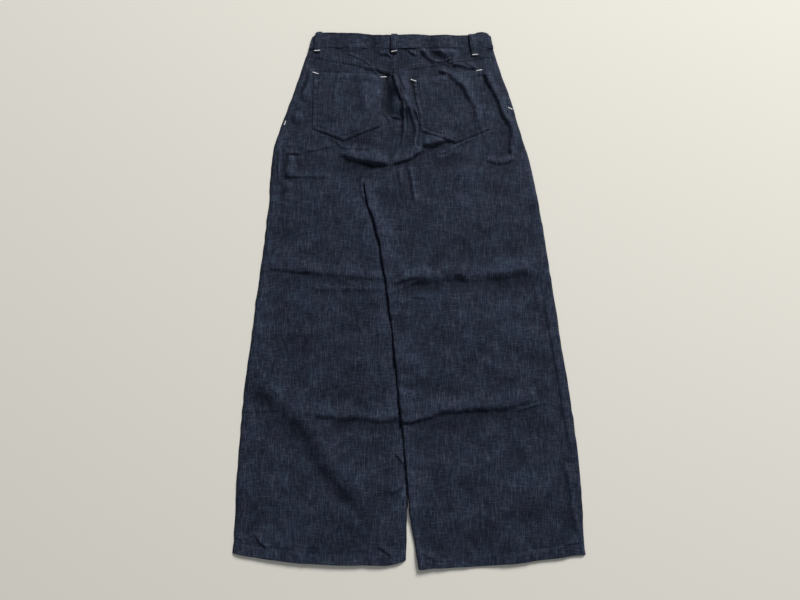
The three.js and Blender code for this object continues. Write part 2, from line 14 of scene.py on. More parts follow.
import bpy
import numpy as np
from bpy.types import Material, Node, NodeSocket, NodeTree, Object
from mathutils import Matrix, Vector


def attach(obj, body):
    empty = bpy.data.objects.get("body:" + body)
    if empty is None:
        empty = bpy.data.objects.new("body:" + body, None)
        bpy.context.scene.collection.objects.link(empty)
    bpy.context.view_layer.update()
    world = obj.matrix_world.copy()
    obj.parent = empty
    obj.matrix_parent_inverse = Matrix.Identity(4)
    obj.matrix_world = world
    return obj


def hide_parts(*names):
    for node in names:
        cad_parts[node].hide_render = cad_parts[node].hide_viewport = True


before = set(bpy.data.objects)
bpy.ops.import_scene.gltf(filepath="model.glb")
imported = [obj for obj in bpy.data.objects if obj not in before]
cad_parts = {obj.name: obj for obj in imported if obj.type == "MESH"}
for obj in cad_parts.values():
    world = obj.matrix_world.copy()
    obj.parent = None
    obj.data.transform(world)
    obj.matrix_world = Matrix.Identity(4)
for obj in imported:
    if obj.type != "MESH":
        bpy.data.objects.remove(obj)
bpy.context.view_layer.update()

LOG = logging.getLogger("jeans")
MM = 0.001
Array = np.ndarray
Height = Callable[[Array, Array], Array]
HeightOf = Callable[[Array], Array]
Line = tuple[tuple[float, float], ...]


# Cloth, clearances and heights along the garment, in millimetres

WALL = 1.2
SEAM_GAP = 0.3
EDGE_INSET = 2.4
FLAT_HEIGHT = 4.4
LOWEST_TOP = 3.0
DIP_KEPT = 0.3  # the share of a dip that is kept below LOWEST_TOP
BAND_SEAM = 497.0
YOKE_CENTRE = 442.0
YOKE_SIDE = 479.0
CROTCH = 254.0
CREVICE_TOP = 214.0
HEM = -520.0
HEM_DEPTH = 22.0
HEM_EXTRA = 0.8
LAP_WIDTH = 9.5
LAP_HEIGHT = 0.8
YOKE_LAP = 0.7
BAND_LAP = 0.6

# Rows of stitches, by their distance from the edge that they hold

SEAM_ROWS = (2.0, 7.5)
POCKET_ROWS = (2.0, 8.0)
POCKET_TOP_ROWS = (2.0, 14.0)
HEM_ROW_INSET = 1.5
BAND_ROW = 2.4
LOOP_ROW = 2.4


class Side(Enum):
    """The two halves of the garment, with the direction in which each one's side seam lies."""

    LEFT = -1
    RIGHT = 1

    @property
    def word(self) -> str:
        """The half's name in the names of pieces."""
        return self.name.lower()


class Section(NamedTuple):
    """Where the outline's edges lie at one height."""

    y: float
    side_left: float
    inner_left: float
    inner_right: float
    side_right: float


OUTLINE = (
    Section(532, -196, -29, -29, 170),
    Section(497, -204, -30, -30, 176),
    Section(473, -213, -32, -32, 182),
    Section(443, -222, -33, -33, 191),
    Section(410, -232, -26, -26, 202),
    Section(378, -242, -16, -16, 212),
    Section(340, -255, -13, -13, 222),
    Section(300, -268, -14, -14, 233),
    Section(276, -273, -21, -21, 240),
    Section(254, -276, -39, -39, 245),
    Section(236, -277, -68, -68, 249),
    Section(216, -278, -87, -87, 253),
    Section(200, -278, -89, -89, 256),
    Section(166, -279, -82, -82, 261),
    Section(135, -282, -71, -71, 266),
    Section(74, -288, -56, -56, 274),
    Section(-32, -300, -40, -40, 288),
    Section(-107, -307, -31, -31, 297),
    Section(-211, -318, -20, -20, 311),
    Section(-334, -325, -7, -7, 324),
    Section(-411, -327, -2, -1, 328),
    Section(-444, -328, -3, 3, 328),
    Section(-484, -329, -4, 10, 329),
    Section(-532, -332, -6, 18, 333),
)


HEMS: dict[Side, Line] = {
    Side.LEFT: ((-331, -504), (-269, -514), (-203, -521), (-45, -525), (-6, -517)),
    Side.RIGHT: ((18, -532), (82, -529), (161, -525), (245, -516), (331, -506)),
}


class BandPoint(NamedTuple):
    """The waistband's seam and its upper edge at one place across the waist."""

    x: float
    seam: float
    top: float


BAND = (
    BandPoint(-204, 494, 519),
    BandPoint(-196, 495, 526),
    BandPoint(-183, 496, 530),
    BandPoint(-133, 497, 529),
    BandPoint(-37, 493, 523),
    BandPoint(46, 495, 524),
    BandPoint(133, 497, 525),
    BandPoint(150, 497, 531),
    BandPoint(166, 496, 530),
    BandPoint(176, 495, 520),
)


class Fold(NamedTuple):
    """A fold along a line: a soft slope on the left as it goes, a steep one and a dip on the right.

    The steep slope is sharpest at its crest where foot is 0, and at its foot where foot is 1. The
    fold grows over the distance start, and dies away over the distance end.
    """

    name: str
    rise: float
    soft: float
    steep: float
    dip: float
    foot: float
    start: float
    end: float
    line: Line


LEG_FOLDS = (
    Fold("knee_left", 2.8, 22, 5, 1.0, 0.6, 14, 30, ((-280, 38), (-239, 33), (-207, 30), (-172, 30))),
    Fold(
        "knee_left_long", 1.7, 20, 7, 0.6, 0.4, 30, 5,
        ((-202, 29), (-134, 24), (-92, 20), (-55, 17), (-38, 16)),
    ),
    Fold("knee_left_low", 1.2, 12, 4, 0.5, 0.5, 20, 12, ((-200, -5), (-134, -6), (-75, -7), (-40, -8))),
    Fold("knee_left_tuck", 1.6, 7, 3, 0.8, 0.7, 8, 12, ((-260, 78), (-266, 64), (-279, 42))),
    Fold(
        "knee_right", 4.6, 28, 13, 1.2, 0.5, 16, 24,
        ((-24, 14), (10, 17), (46, 18), (90, 24), (118, 22), (155, 25), (198, 29), (252, 36)),
    ),
    Fold("knee_right_short", 2.0, 5, 3, 0.8, 0.6, 8, 12, ((-32, 5), (-14, 11), (2, 16), (20, 18))),
    Fold("crevice_top", 4.6, 10, 7, 1.0, 0.5, 18, 16, ((-88, 222), (-91, 206), (-89, 188), (-81, 164))),
    Fold("knee_right_under", 1.4, 5, 3, 0.5, 0.7, 3, 10, ((-38, -15), (-4, 0), (20, 11))),
    Fold("knee_right_low", 1.2, 7, 3, 0.5, 0.7, 8, 10, ((2, -22), (24, -21), (50, -25))),
    Fold("knee_right_side", 1.4, 8, 5, 0.7, 0.5, 8, 12, ((250, 4), (252, -20), (256, -50))),
    Fold(
        "shin_left", 4.2, 24, 9, 1.4, 0.5, 50, 6,
        ((-206, -240), (-131, -252), (-93, -250), (-57, -257), (-15, -251)),
    ),
    Fold("shin_left_edge", 1.6, 12, 5, 0.6, 0.5, 10, 16, ((-322, -242), (-281, -241), (-246, -238))),
    Fold("shin_right_short", 3.4, 8, 4.5, 1.5, 0.8, 3, 16, ((-18, -261), (3, -261), (20, -256), (56, -247))),
    Fold(
        "shin_right", 3.8, 22, 11, 1.4, 1.0, 20, 24,
        ((36, -241), (89, -235), (156, -230), (189, -229), (254, -212)),
    ),
    Fold(
        "shin_right_branch", 1.8, 5, 3.5, 0.9, 0.9, 10, 10,
        ((203, -242), (228, -234), (244, -229), (270, -226)),
    ),
    Fold(
        "shin_diagonal", 5.6, 50, 28, 1.8, 0.5, 24, 60,
        ((-312, -186), (-262, -203), (-229, -232), (-190, -268), (-144, -338), (-89, -396), (-60, -426)),
    ),
    Fold("inseam_left_tuck", 1.8, 5, 3, 0.9, 0.9, 3, 5, ((-26, -320), (-16, -331), (-5, -346))),
    Fold("inseam_left_low", 2.0, 6, 4, 1.0, 0.8, 8, 4, ((-40, -393), (-24, -390), (-8, -381))),
    Fold(
        "side_right", 1.8, 8, 3.5, 1.3, 0.9, 14, 20,
        ((268, -25), (277, -95), (289, -170), (300, -255), (310, -326)),
    ),
    Fold("side_right_low", 2.4, 7, 6, 1.4, 0.6, 16, 16, ((297, -334), (306, -387), (310, -426), (318, -474))),
    Fold("hem_left_outer", 2.0, 7, 4, 1.0, 0.8, 6, 8, ((-290, -464), (-278, -482), (-258, -496))),
    Fold("hem_left_side", 1.6, 5, 3, 0.8, 0.8, 5, 5, ((-326, -474), (-312, -478), (-300, -474))),
    Fold("hem_left_inner", 1.8, 7, 4, 1.0, 0.8, 8, 6, ((-60, -488), (-44, -498), (-28, -508))),
    Fold("hem_right_outer", 1.6, 6, 4, 1.0, 0.7, 7, 5, ((276, -497), (300, -486), (320, -484))),
    Fold("hem_right_inner", 1.4, 7, 4, 0.8, 0.6, 6, 8, ((24, -500), (40, -510), (60, -514))),
)
CENTRE_FOLDS = (
    Fold(
        "crotch_left", 5.4, 26, 6, 1.5, 0.6, 70, 18,
        ((-154, 280), (-116, 262), (-84, 254), (-62, 250), (-34, 250)),
    ),
    Fold(
        "crotch_left_shade", 2.2, 16, 14, 0.4, 0.4, 40, 16,
        ((-148, 272), (-112, 262), (-78, 258), (-52, 254)),
    ),
    Fold(
        "crotch_right", 5.2, 14, 5, 1.4, 0.6, 30, 5,
        ((-42, 248), (-26, 251), (-12, 256), (3, 261), (13, 268), (23, 274), (28, 281)),
    ),
    Fold(
        "crotch_right_upper", 5.0, 14, 6, 1.4, 0.5, 8, 46,
        ((27, 292), (44, 289), (54, 291), (64, 294), (79, 300), (94, 298), (112, 301)),
    ),
    Fold("crotch_right_line", 1.4, 5, 2, 0.4, 0.7, 5, 10, ((60, 271), (76, 272), (104, 288), (128, 301))),
    Fold("crotch_right_shade", 2.2, 10, 8, 0.6, 0.4, 10, 12, ((54, 256), (80, 266), (102, 276))),
    Fold(
        "centre", 3.2, 4, 4, 1.2, 0.6, 8, 30,
        ((-33, 441), (-27, 427), (-25, 413), (-20, 401), (-16, 391), (-10, 376), (-9, 362), (-8, 340),
         (-9, 319), (-12, 298), (-16, 282)),
    ),
    Fold(
        "centre_shade", 9.4, 12, 36, 0.5, 0.3, 14, 22,
        ((-14, 452), (-10, 420), (-6, 392), (-4, 370), (-6, 340)),
    ),
    Fold(
        "pit_left", 2.0, 20, 9, 1.0, 0.5, 8, 10,
        ((-37, 437), (-34, 413), (-33, 398), (-32, 376), (-28, 352)),
    ),
    Fold("pit_streak", 1.8, 3, 5, 0.0, 0.5, 4, 4, ((-50, 362), (-43, 349), (-35, 340))),
    Fold("pit_cross", 1.7, 4, 2.2, 0.6, 0.8, 3, 2, ((-35, 348), (-25, 346.5), (-13, 343))),
    Fold(
        "ridge", 3.2, 4, 5, 0.4, 0.5, 12, 12,
        ((-17, 415), (-9, 389), (0, 368), (15, 330), (16, 315), (13, 298), (12, 278)),
    ),
    Fold("ridge_inner", 1.8, 3, 2.2, 0.4, 0.7, 6, 6, ((-1, 354), (1, 330), (-3, 303))),
    Fold(
        "ridge_outer", 2.2, 3.5, 2.5, 0.5, 0.7, 8, 8,
        ((3, 402), (7, 380), (20, 346), (25, 328), (24, 302), (22, 276)),
    ),
    Fold("ridge_upper", 1.4, 4, 2.5, 0.4, 0.7, 8, 8, ((-20, 446), (-14, 424), (-8, 404))),
    Fold("thigh_crease", 2.8, 8, 4, 1.0, 0.6, 12, 30, ((1, 246), (8, 209), (12, 160))),
    Fold("thigh_crease_short", 1.9, 5, 3, 0.8, 0.6, 8, 14, ((-20, 242), (-15, 200))),
)
HIP_FOLDS = (
    Fold(
        "hip_left", 5.6, 11, 6.5, 1.2, 0.5, 20, 16,
        ((-198, 458), (-206, 410), (-216, 385), (-226, 358), (-233, 330)),
    ),
    Fold("hip_left_rim", 2.0, 4, 2.5, 0.7, 0.6, 16, 20, ((-262, 290), (-261, 256), (-262, 206))),
    Fold("hip_left_upright", 5.4, 10, 8, 1.0, 0.5, 6, 16, ((-237, 268), (-240, 245), (-246, 216))),
    Fold("hip_left_upright_low", 4.0, 11, 10, 0.6, 0.5, 16, 30, ((-243, 218), (-243, 182), (-250, 138))),
    Fold("hip_left_start", 2.0, 6, 3, 0.6, 0.5, 5, 18, ((-248, 271), (-234, 271), (-206, 270))),
    Fold(
        "hip_left_upper", 1.3, 8, 2.8, 0.5, 0.6, 14, 16,
        ((-222, 273), (-196, 276), (-170, 282), (-146, 288)),
    ),
    Fold("hip_left_lower", 1.4, 10, 3.5, 0.5, 0.7, 6, 30, ((-248, 223), (-207, 223), (-146, 222))),
    Fold(
        "pocket_left_under", 1.3, 7, 3, 0.6, 0.6, 8, 10,
        ((-146, 298), (-134, 284), (-110, 281), (-70, 279)),
    ),
    Fold("pocket_left_crease", 3.0, 10, 13, 0.6, 0.5, 18, 18, ((-94, 425), (-89, 392), (-84, 346))),
    Fold("pocket_left_streak", 1.8, 6, 4, 0.5, 0.5, 8, 10, ((-150, 422), (-149, 398), (-152, 372))),
    Fold("pocket_left_upper", 1.4, 5, 3, 0.4, 0.5, 6, 8, ((-131, 444), (-134, 432), (-139, 418))),
    Fold(
        "hip_right", 4.2, 10, 5.5, 1.2, 0.6, 8, 10,
        ((157, 444), (162, 430), (170, 413), (182, 391), (188, 378), (190.5, 363), (197, 347), (207, 333),
         (212, 315), (208.5, 294), (207, 277), (216, 263)),
    ),
    Fold("hip_right_beside", 1.3, 3, 2, 0.4, 0.6, 4, 4, ((196, 371), (209, 350))),
    Fold("hip_right_end", 2.4, 10, 6, 1.0, 0.4, 8, 5, ((156, 260), (176, 252), (200, 254), (215, 263))),
    Fold("pocket_right_start", 2.2, 8, 5, 0.8, 0.4, 6, 4, ((60, 449), (76, 443), (92, 436))),
    Fold(
        "pocket_right", 3.2, 12, 7, 1.2, 0.5, 6, 24,
        ((86, 438), (99, 425), (117, 407), (123, 390), (132, 377), (138, 362), (140, 340), (138, 318)),
    ),
)
YOKE_FOLDS = (
    Fold("right_loop", 1.8, 5, 2.4, 0.7, 0.7, 3, 4, ((-3, 494), (6, 484), (17, 478))),
    Fold("right_shade", 4.4, 12, 22, 0.6, 0.4, 14, 22, ((20, 502), (56, 497), (84, 486), (112, 476))),
    Fold("right_first", 2.8, 6, 6, 1.0, 0.4, 6, 12, ((23, 498), (34, 485), (48, 470), (62, 462))),
    Fold("right_second", 3.4, 8, 8, 1.0, 0.4, 8, 12, ((32, 498), (56, 493), (71, 485), (86, 472))),
    Fold(
        "right_second_foot", 1.5, 5, 2.2, 0.5, 0.7, 4, 4,
        ((51, 470), (60, 466), (68, 465), (78, 467), (88, 472)),
    ),
    Fold("right_third", 1.6, 5, 2.2, 0.5, 0.7, 6, 3, ((74, 459), (88, 457), (100, 457.5))),
    Fold(
        "right_fourth", 2.3, 8, 4, 0.8, 0.4, 18, 14,
        ((80, 464), (95, 461), (112, 456), (136, 451), (148, 449)),
    ),
    Fold("right_fifth", 1.3, 5, 3, 0.4, 0.4, 6, 6, ((112, 469), (126, 459), (138, 451))),
    Fold("right_upright", 1.3, 4, 2.5, 0.4, 0.7, 4, 4, ((23, 471), (21, 460), (19, 447))),
    Fold("left_centre", 2.0, 5, 2.5, 0.8, 0.7, 3, 4, ((-59, 481), (-43, 481.5), (-32, 472))),
    Fold("left_first", 1.4, 4, 2.2, 0.5, 0.7, 4, 4, ((-123, 484), (-110, 478), (-98, 473))),
    Fold("left_second", 1.4, 4, 2.2, 0.5, 0.7, 4, 4, ((-98, 473), (-86, 465), (-75, 456))),
    Fold(
        "left_seam", 2.2, 7, 2.4, 0.8, 0.8, 16, 3,
        ((-98, 453), (-78, 449.5), (-64, 447), (-51, 444), (-34, 439)),
    ),
    Fold("left_branch", 1.5, 4, 2.2, 0.5, 0.7, 2, 3, ((-70, 446), (-60, 435))),
    Fold("left_faint", 1.0, 6, 3, 0.4, 0.6, 5, 6, ((-156, 459), (-146, 459), (-134, 460))),
)
FOLDS = LEG_FOLDS + CENTRE_FOLDS + HIP_FOLDS + YOKE_FOLDS


class Swell(NamedTuple):
    """A broad soft rise of the cloth."""

    name: str
    x: float
    y: float
    span_x: float
    span_y: float
    rise: float


SWELLS = (
    Swell("seat_left", -140, 365, 75, 80, 3.0),
    Swell("seat_left_centre", -76, 380, 24, 60, 3.4),
    Swell("centre_pit", -42, 390, 12, 46, -6.5),
    Swell("centre_pit_low", -30, 312, 14, 22, -1.5),
    Swell("centre_seam", -6, 405, 10, 34, 1.5),
    Swell("seat_right", 75, 375, 62, 75, 3.4),
    Swell("thigh_left", -180, 130, 70, 80, 1.5),
    Swell("thigh_right", 90, 150, 100, 90, 2.5),
    Swell("calf_left", -120, -130, 90, 80, 1.5),
    Swell("calf_right", 150, -130, 90, 80, 1.5),
    Swell("hem_left", -150, -450, 100, 60, 1.2),
    Swell("hem_right", 170, -430, 100, 70, 1.5),
)

POCKETS = {
    Side.LEFT: ((-194, 445), (-46, 437), (-57, 326), (-130, 297), (-194, 322)),
    Side.RIGHT: ((8, 428.5), (151, 450.5), (165, 321), (95, 291), (28, 316)),
}


# Curves and noise


def smooth(low: float, high: float, value: Array) -> Array:
    """A soft step from 0 at low to 1 at high."""
    t = np.clip((np.asarray(value, float) - low) / (high - low), 0.0, 1.0)
    return t * t * (3.0 - 2.0 * t)


def plateau(distance: Array, half_width: float, ramp: float) -> Array:
    """A flat top of the given half width that falls away softly on both sides."""
    return 1.0 - smooth(half_width, half_width + ramp, np.abs(distance))


def mix(a: Array, b: Array, t: Array) -> Array:
    """The value a part t of the way from a to b."""
    return a + (b - a) * t


def curve_through(places: Sequence[float], values: Sequence[float], at: Array) -> Array:
    """Reads a smooth curve that runs through a table's rows.

    Args:
        places: where the rows stand, in any order.
        values: what the rows say.
        at: where to read.

    Returns:
        The curve's values, held constant past both ends.
    """
    order = np.argsort(places)
    p = np.asarray(places, float)[order]
    v = np.asarray(values, float)[order]
    slopes = np.empty_like(v)
    slopes[1:-1] = (v[2:] - v[:-2]) / (p[2:] - p[:-2])
    slopes[0] = (v[1] - v[0]) / (p[1] - p[0])
    slopes[-1] = (v[-1] - v[-2]) / (p[-1] - p[-2])
    at = np.clip(np.asarray(at, float), p[0], p[-1])
    i = np.clip(np.searchsorted(p, at, side="right") - 1, 0, len(p) - 2)
    span = p[i + 1] - p[i]
    t = (at - p[i]) / span
    return (
        (2 * t**3 - 3 * t**2 + 1) * v[i]
        + (t**3 - 2 * t**2 + t) * span * slopes[i]
        + (3 * t**2 - 2 * t**3) * v[i + 1]
        + (t**3 - t**2) * span * slopes[i + 1]
    )


@lru_cache(maxsize=None)
def lattice(seed: int, size: int = 512) -> Array:
    """A seeded lattice of random values from -1 to 1."""
    return np.random.default_rng(seed).uniform(-1.0, 1.0, (size, size))


def lattice_noise(x: Array, y: Array, cell_x: float, cell_y: float, seed: int) -> Array:
    """Smooth noise from a seeded lattice of random values.

    Args:
        x: places across, in millimetres.
        y: places along, in millimetres.
        cell_x: the lattice's pitch across.
        cell_y: the lattice's pitch along.
        seed: which lattice.

    Returns:
        Values from about -1 to 1.
    """
    values = lattice(seed)
    size = len(values)
    gx = np.asarray(x, float) / cell_x + size / 2
    gy = np.asarray(y, float) / cell_y + size / 2
    ix = np.floor(gx).astype(int)
    iy = np.floor(gy).astype(int)
    tx = gx - ix
    ty = gy - iy
    tx = tx * tx * (3 - 2 * tx)
    ty = ty * ty * (3 - 2 * ty)
    low = mix(values[iy % size, ix % size], values[iy % size, (ix + 1) % size], tx)
    high = mix(values[(iy + 1) % size, ix % size], values[(iy + 1) % size, (ix + 1) % size], tx)
    return mix(low, high, ty)


def line_noise(at: Array, cell: float, seed: int) -> Array:
    """Smooth noise along one line, with a lattice of the given pitch."""
    return lattice_noise(at, 0 * at, cell, 1, seed)


def stations(length: float, step: float, radius: float = 1.2) -> Array:
    """Places along a length, closer at both ends, where an edge is rounded."""
    close = np.array([0.0, 0.15, 0.45, 1.0]) * radius
    middle = np.linspace(close[-1], length - close[-1], max(2, round(length / step)))
    return np.concatenate([close[:-1], middle, length - close[-2::-1]])


def edge_round(distance: Array, radius: float) -> Array:
    """How much of its thickness a cloth has near a rounded edge."""
    t = 1.0 - np.clip(distance / radius, 0.0, 1.0)
    return np.sqrt(np.clip(1.0 - t * t, 0.0, 1.0)) * 0.92 + 0.08


# Form of the laid cloth


class Nearest(NamedTuple):
    """The nearest place of a line: how far it is, on which side, and how far along."""

    signed: Array
    along: Array
    length: float


def nearest_on(line: Sequence[tuple[float, float]], x: Array, y: Array) -> Nearest:
    """Finds the nearest place of a line for every point.

    Args:
        line: the line's corners.
        x: places across, in millimetres.
        y: places along, in millimetres.

    Returns:
        The distances, positive on the left of the line as it goes, and the lengths walked to them.
    """
    nearest = np.full(np.shape(x), 1e9)
    signed = np.zeros(np.shape(x))
    along = np.zeros(np.shape(x))
    walked = 0.0
    for (x0, y0), (x1, y1) in zip(line, line[1:]):
        length = math.hypot(x1 - x0, y1 - y0)
        t = np.clip(((x - x0) * (x1 - x0) + (y - y0) * (y1 - y0)) / length**2, 0.0, 1.0)
        off_x = x - mix(x0, x1, t)
        off_y = y - mix(y0, y1, t)
        distance = np.hypot(off_x, off_y)
        side = np.where((x1 - x0) * off_y - (y1 - y0) * off_x >= 0, 1.0, -1.0)
        closer = distance < nearest
        signed = np.where(closer, side * distance, signed)
        along = np.where(closer, walked + t * length, along)
        nearest = np.where(closer, distance, nearest)
        walked += length
    return Nearest(signed, along, walked)


@lru_cache(maxsize=None)
def rounded_line(line: Line, step: float = 9.0) -> Line:
    """A smooth line of short pieces through a line's corners."""
    corners = np.asarray(line, float)
    places = np.concatenate([[0.0], np.cumsum(np.linalg.norm(np.diff(corners, axis=0), axis=1))])
    at = np.linspace(0.0, places[-1], max(3, round(places[-1] / step)))
    xs, ys = (curve_through(places, corners[:, axis], at) for axis in (0, 1))
    return tuple(zip(xs.tolist(), ys.tolist()))


def fold_height(fold: Fold, x: Array, y: Array) -> Array:
    """Height that one fold adds, fading out towards both ends of its line.

    Args:
        fold: the fold.
        x: places across, in millimetres.
        y: places along, in millimetres.

    Returns:
        The added height, in millimetres.
    """
    reach = max(2.5 * fold.soft, 6 * fold.steep)
    xs, ys = zip(*fold.line)
    near = (np.abs(x - (min(xs) + max(xs)) / 2) < (max(xs) - min(xs)) / 2 + reach) & (
        np.abs(y - (min(ys) + max(ys)) / 2) < (max(ys) - min(ys)) / 2 + reach
    )
    height = np.zeros(np.shape(x))
    signed, along, length = nearest_on(rounded_line(fold.line), x[near], y[near])
    taper = smooth(0, fold.start, along) * (1 - smooth(length - fold.end, length, along))
    place = along + 97 * fold.rise + 31 * fold.soft
    signed = signed + 0.1 * fold.steep * line_noise(place, 11, 81)
    uneven = 1 + 0.3 * line_noise(place, 19, 82) + 0.15 * line_noise(place, 7, 83)
    down = np.clip(-signed / fold.steep, 0.0, 1.0) * np.pi / 2
    steep = mix(1 - np.sin(down), np.cos(down), fold.foot)
    beyond = np.exp(-np.maximum(-signed / fold.steep - 1, 0.0) / 1.3)
    ridge = fold.rise * np.where(signed >= 0, np.exp(-((signed / fold.soft) ** 2)), steep)
    height[near] = taper * uneven * (ridge - fold.dip * np.where(signed >= 0, 0.0, (1 - steep) * beyond))
    return height


def waist_lift(x: Array) -> Array:
    """Height that the button and the overlapped band ends under the waist add to it."""
    button = WaistButton()
    lift = 4.8 * plateau(x - button.x, half_width=26, ramp=44)
    for away in (-FrontLoop.offset, FrontLoop.offset):
        lift = np.maximum(lift, 1.9 * plateau(x - button.x - away, half_width=10, ramp=28))
    return lift


@dataclass(frozen=True)
class Half:
    """One half of the garment's upper layer: its edges, its rows and its relief."""

    side: Side
    roll: float
    roll_span: float
    inseam_radius: float
    side_reach: float

    @property
    def sign(self) -> int:
        """Which way the side seam lies."""
        return self.side.value

    def outline(self, column: str, y: Array) -> Array:
        """Reads one of this half's columns in the outline's table."""
        values = [getattr(row, f"{column}_{self.side.word}") for row in OUTLINE]
        return curve_through([row.y for row in OUTLINE], values, y)

    def edge(self, y: Array) -> Array:
        """The side edge at a height, a little wavy as cloth is."""
        wave = 0.8 * line_noise(y, 15, 61 + self.sign) * smooth(BAND_SEAM, BAND_SEAM - 30, y)
        return self.outline("side", y) + wave

    def inner(self, y: Array) -> Array:
        """The inner edge at a height: the centre seam, and below it the leg's inner side."""
        wave = 0.9 * line_noise(y, 13, 63) * (1 - smooth(CROTCH - 20, CROTCH + 10, y))
        return self.outline("inner", y) + wave

    def tuck(self, y: Array) -> Array:
        """How far the left leg's inner edge is tucked under the right leg, where the legs touch."""
        if self.side is Side.RIGHT:
            return 0 * y
        return 1.1 * smooth(-415, -385, y) * (1 - smooth(CREVICE_TOP - 14, CREVICE_TOP, y))

    def hem(self, x: Array) -> Array:
        """The leg's bottom edge."""
        across, along = zip(*HEMS[self.side])
        return curve_through(across, along, x) + 0.7 * line_noise(x, 22, 65)

    def yoke_seam(self, x: Array) -> Array:
        """The seam between yoke and leg panel."""
        centre = self.inner(YOKE_CENTRE)
        side = self.edge(YOKE_SIDE)
        return mix(YOKE_CENTRE, YOKE_SIDE, np.clip((x - centre) / (side - centre), 0.0, 1.0))

    def leg_row(self, y: Array, x: Array) -> Array:
        """A row's real height at x, bent to the hem near the hem."""
        return y + (self.hem(x) - HEM) * (1 - smooth(HEM, HEM + 130, y))

    def back_row(self, y: Array, x: Array) -> Array:
        """A row of the leg panel, bent to the yoke's seam at its upper end too."""
        yoke = self.yoke_seam(x) - SEAM_GAP / 2 - YOKE_CENTRE
        return self.leg_row(y, x) + yoke * smooth(YOKE_CENTRE - 120, YOKE_CENTRE, y)

    def front_row(self, y: Array, x: Array) -> Array:
        """A row of the front, bent to the waistband's seam at its upper end."""
        seam = band_seam(x) - SEAM_GAP - BAND_SEAM
        short = 1.5 * (1 - smooth(HEM, HEM + 40, y))
        return self.leg_row(y, x) + seam * smooth(YOKE_CENTRE, BAND_SEAM, y) + short

    def yoke_row(self, part: Array, x: Array) -> Array:
        """A row of the yoke, part of the way from the waistband down over the leg panel's edge."""
        return mix(band_seam(x) - SEAM_GAP, self.yoke_seam(x) - YOKE_LAP, part)

    def top(self, x: Array, y: Array) -> Array:
        """Outer face of the upper layer, before its edges turn down."""
        x, y = np.broadcast_arrays(np.asarray(x, float), np.asarray(y, float))
        folds = sum(fold_height(fold, x, y) for fold in FOLDS)
        z = FLAT_HEIGHT + waist_lift(x) * smooth(430, BAND_SEAM, y) + folds * (1 - smooth(485, 497, y))
        for swell in SWELLS:
            away = ((x - swell.x) / swell.span_x) ** 2 + ((y - swell.y) / swell.span_y) ** 2
            z = z + swell.rise * np.exp(-away)
        below = 1 - smooth(CREVICE_TOP - 26, CREVICE_TOP + 4, y)
        fading = mix(0.45, 1, smooth(HEM + 60, -250, y))
        inner = self.inner(y)
        rolled = 0.72 + 0.45 * line_noise(y, 38, 15) + 0.25 * line_noise(y, 14, 16)
        rolled = self.roll * np.clip(rolled, 0.2, 1.3)
        z = z + rolled * below * fading * np.exp(-(((x - inner) / self.roll_span) ** 2))
        z = z + self.slack(x, y) + self.sewn_relief(x, y)
        return np.maximum(z, LOWEST_TOP + DIP_KEPT * (z - LOWEST_TOP))

    def slack(self, x: Array, y: Array) -> Array:
        """Small uneven waves of cloth that lies loose, more of them over the seat and beside the inseam."""
        wide = 1.4 * lattice_noise(x, y, 62, 48, seed=11)
        middle = 0.8 * lattice_noise(x + 0.3 * y, y, 27, 21, seed=12)
        small = 0.3 * lattice_noise(x, y - 0.4 * x, 12, 9, seed=13)
        tiny = 0.1 * lattice_noise(x, y, 5, 4, seed=14)
        beside = np.exp(-(((x - self.inner(y)) / 45) ** 2))
        busy = 0.45 + 0.55 * smooth(180, 300, y) + 0.5 * beside * (1 - smooth(CROTCH, CROTCH + 60, y))
        return wide + middle + busy * (small + tiny)

    def sewn_relief(self, x: Array, y: Array) -> Array:
        """Laps, stitch grooves and puckers of the seams, the hem and the pocket's edge."""
        seat = smooth(CROTCH - 2, CROTCH + 12, y)
        from_centre = np.abs(x - self.inner(y))
        lapped = LAP_HEIGHT * (1 - smooth(LAP_WIDTH - 1, LAP_WIDTH + 1, from_centre))
        lines = sum(groove(from_centre - row, 0.4) for row in SEAM_ROWS)
        z = seat * (self.side is Side.RIGHT) * (lapped - lines)
        z = z + seat * pucker(y, from_centre, pitch=11.0, depth=0.7, reach=10.0, seed=21)
        from_hem = y - self.hem(x)
        z = z - groove(from_hem - HEM_DEPTH + HEM_ROW_INSET, depth=1.2, width=1.6)
        uneven = 1.2 + 0.8 * line_noise(x, 37, 28) + 0.5 * np.exp(-(((x - 25) / 32) ** 2))
        z = z + uneven * smooth(BAND_SEAM - 9, BAND_SEAM, y)
        hem_line = x + 0.7 * from_hem
        z = z + pucker(hem_line, from_hem - 10, pitch=15.0, depth=0.6, reach=16.0, seed=22)
        z = z + pucker(x, self.yoke_seam(x) - y, pitch=9.0, depth=0.5, reach=8.0, seed=23)
        from_side = np.abs(x - self.edge(y))
        z = z + pucker(y, from_side - 4, pitch=18.0, depth=0.5, reach=9.0, seed=24 + self.sign)
        corners = POCKETS[self.side]
        around = nearest_on((*corners, corners[0]), x, y)
        z = z - groove(around.signed, depth=0.4, width=1.9)
        return z + pucker(around.along, around.signed, pitch=10.0, depth=0.4, reach=7.0, seed=27)


def pucker(along: Array, off: Array, pitch: float, depth: float, reach: float, seed: int) -> Array:
    """Uneven ripples across a sewn line, dying away from it.

    Args:
        along: distance along the line.
        off: distance from the line.
        pitch: usual distance between ripples.
        depth: their height at the line.
        reach: how far they run from it.
        seed: which set of ripples.

    Returns:
        The added height.
    """
    return depth * line_noise(along, pitch * 0.5, seed) * np.exp(-np.abs(off) / reach)


def groove(distance: Array, depth: float = 0.3, width: float = 0.9) -> Array:
    """Depth to which a line of stitches pulls the cloth in."""
    return depth * np.exp(-((distance / width) ** 2))


def band_seam(x: Array) -> Array:
    """The seam under the waistband."""
    return curve_through([p.x for p in BAND], [p.seam for p in BAND], x)


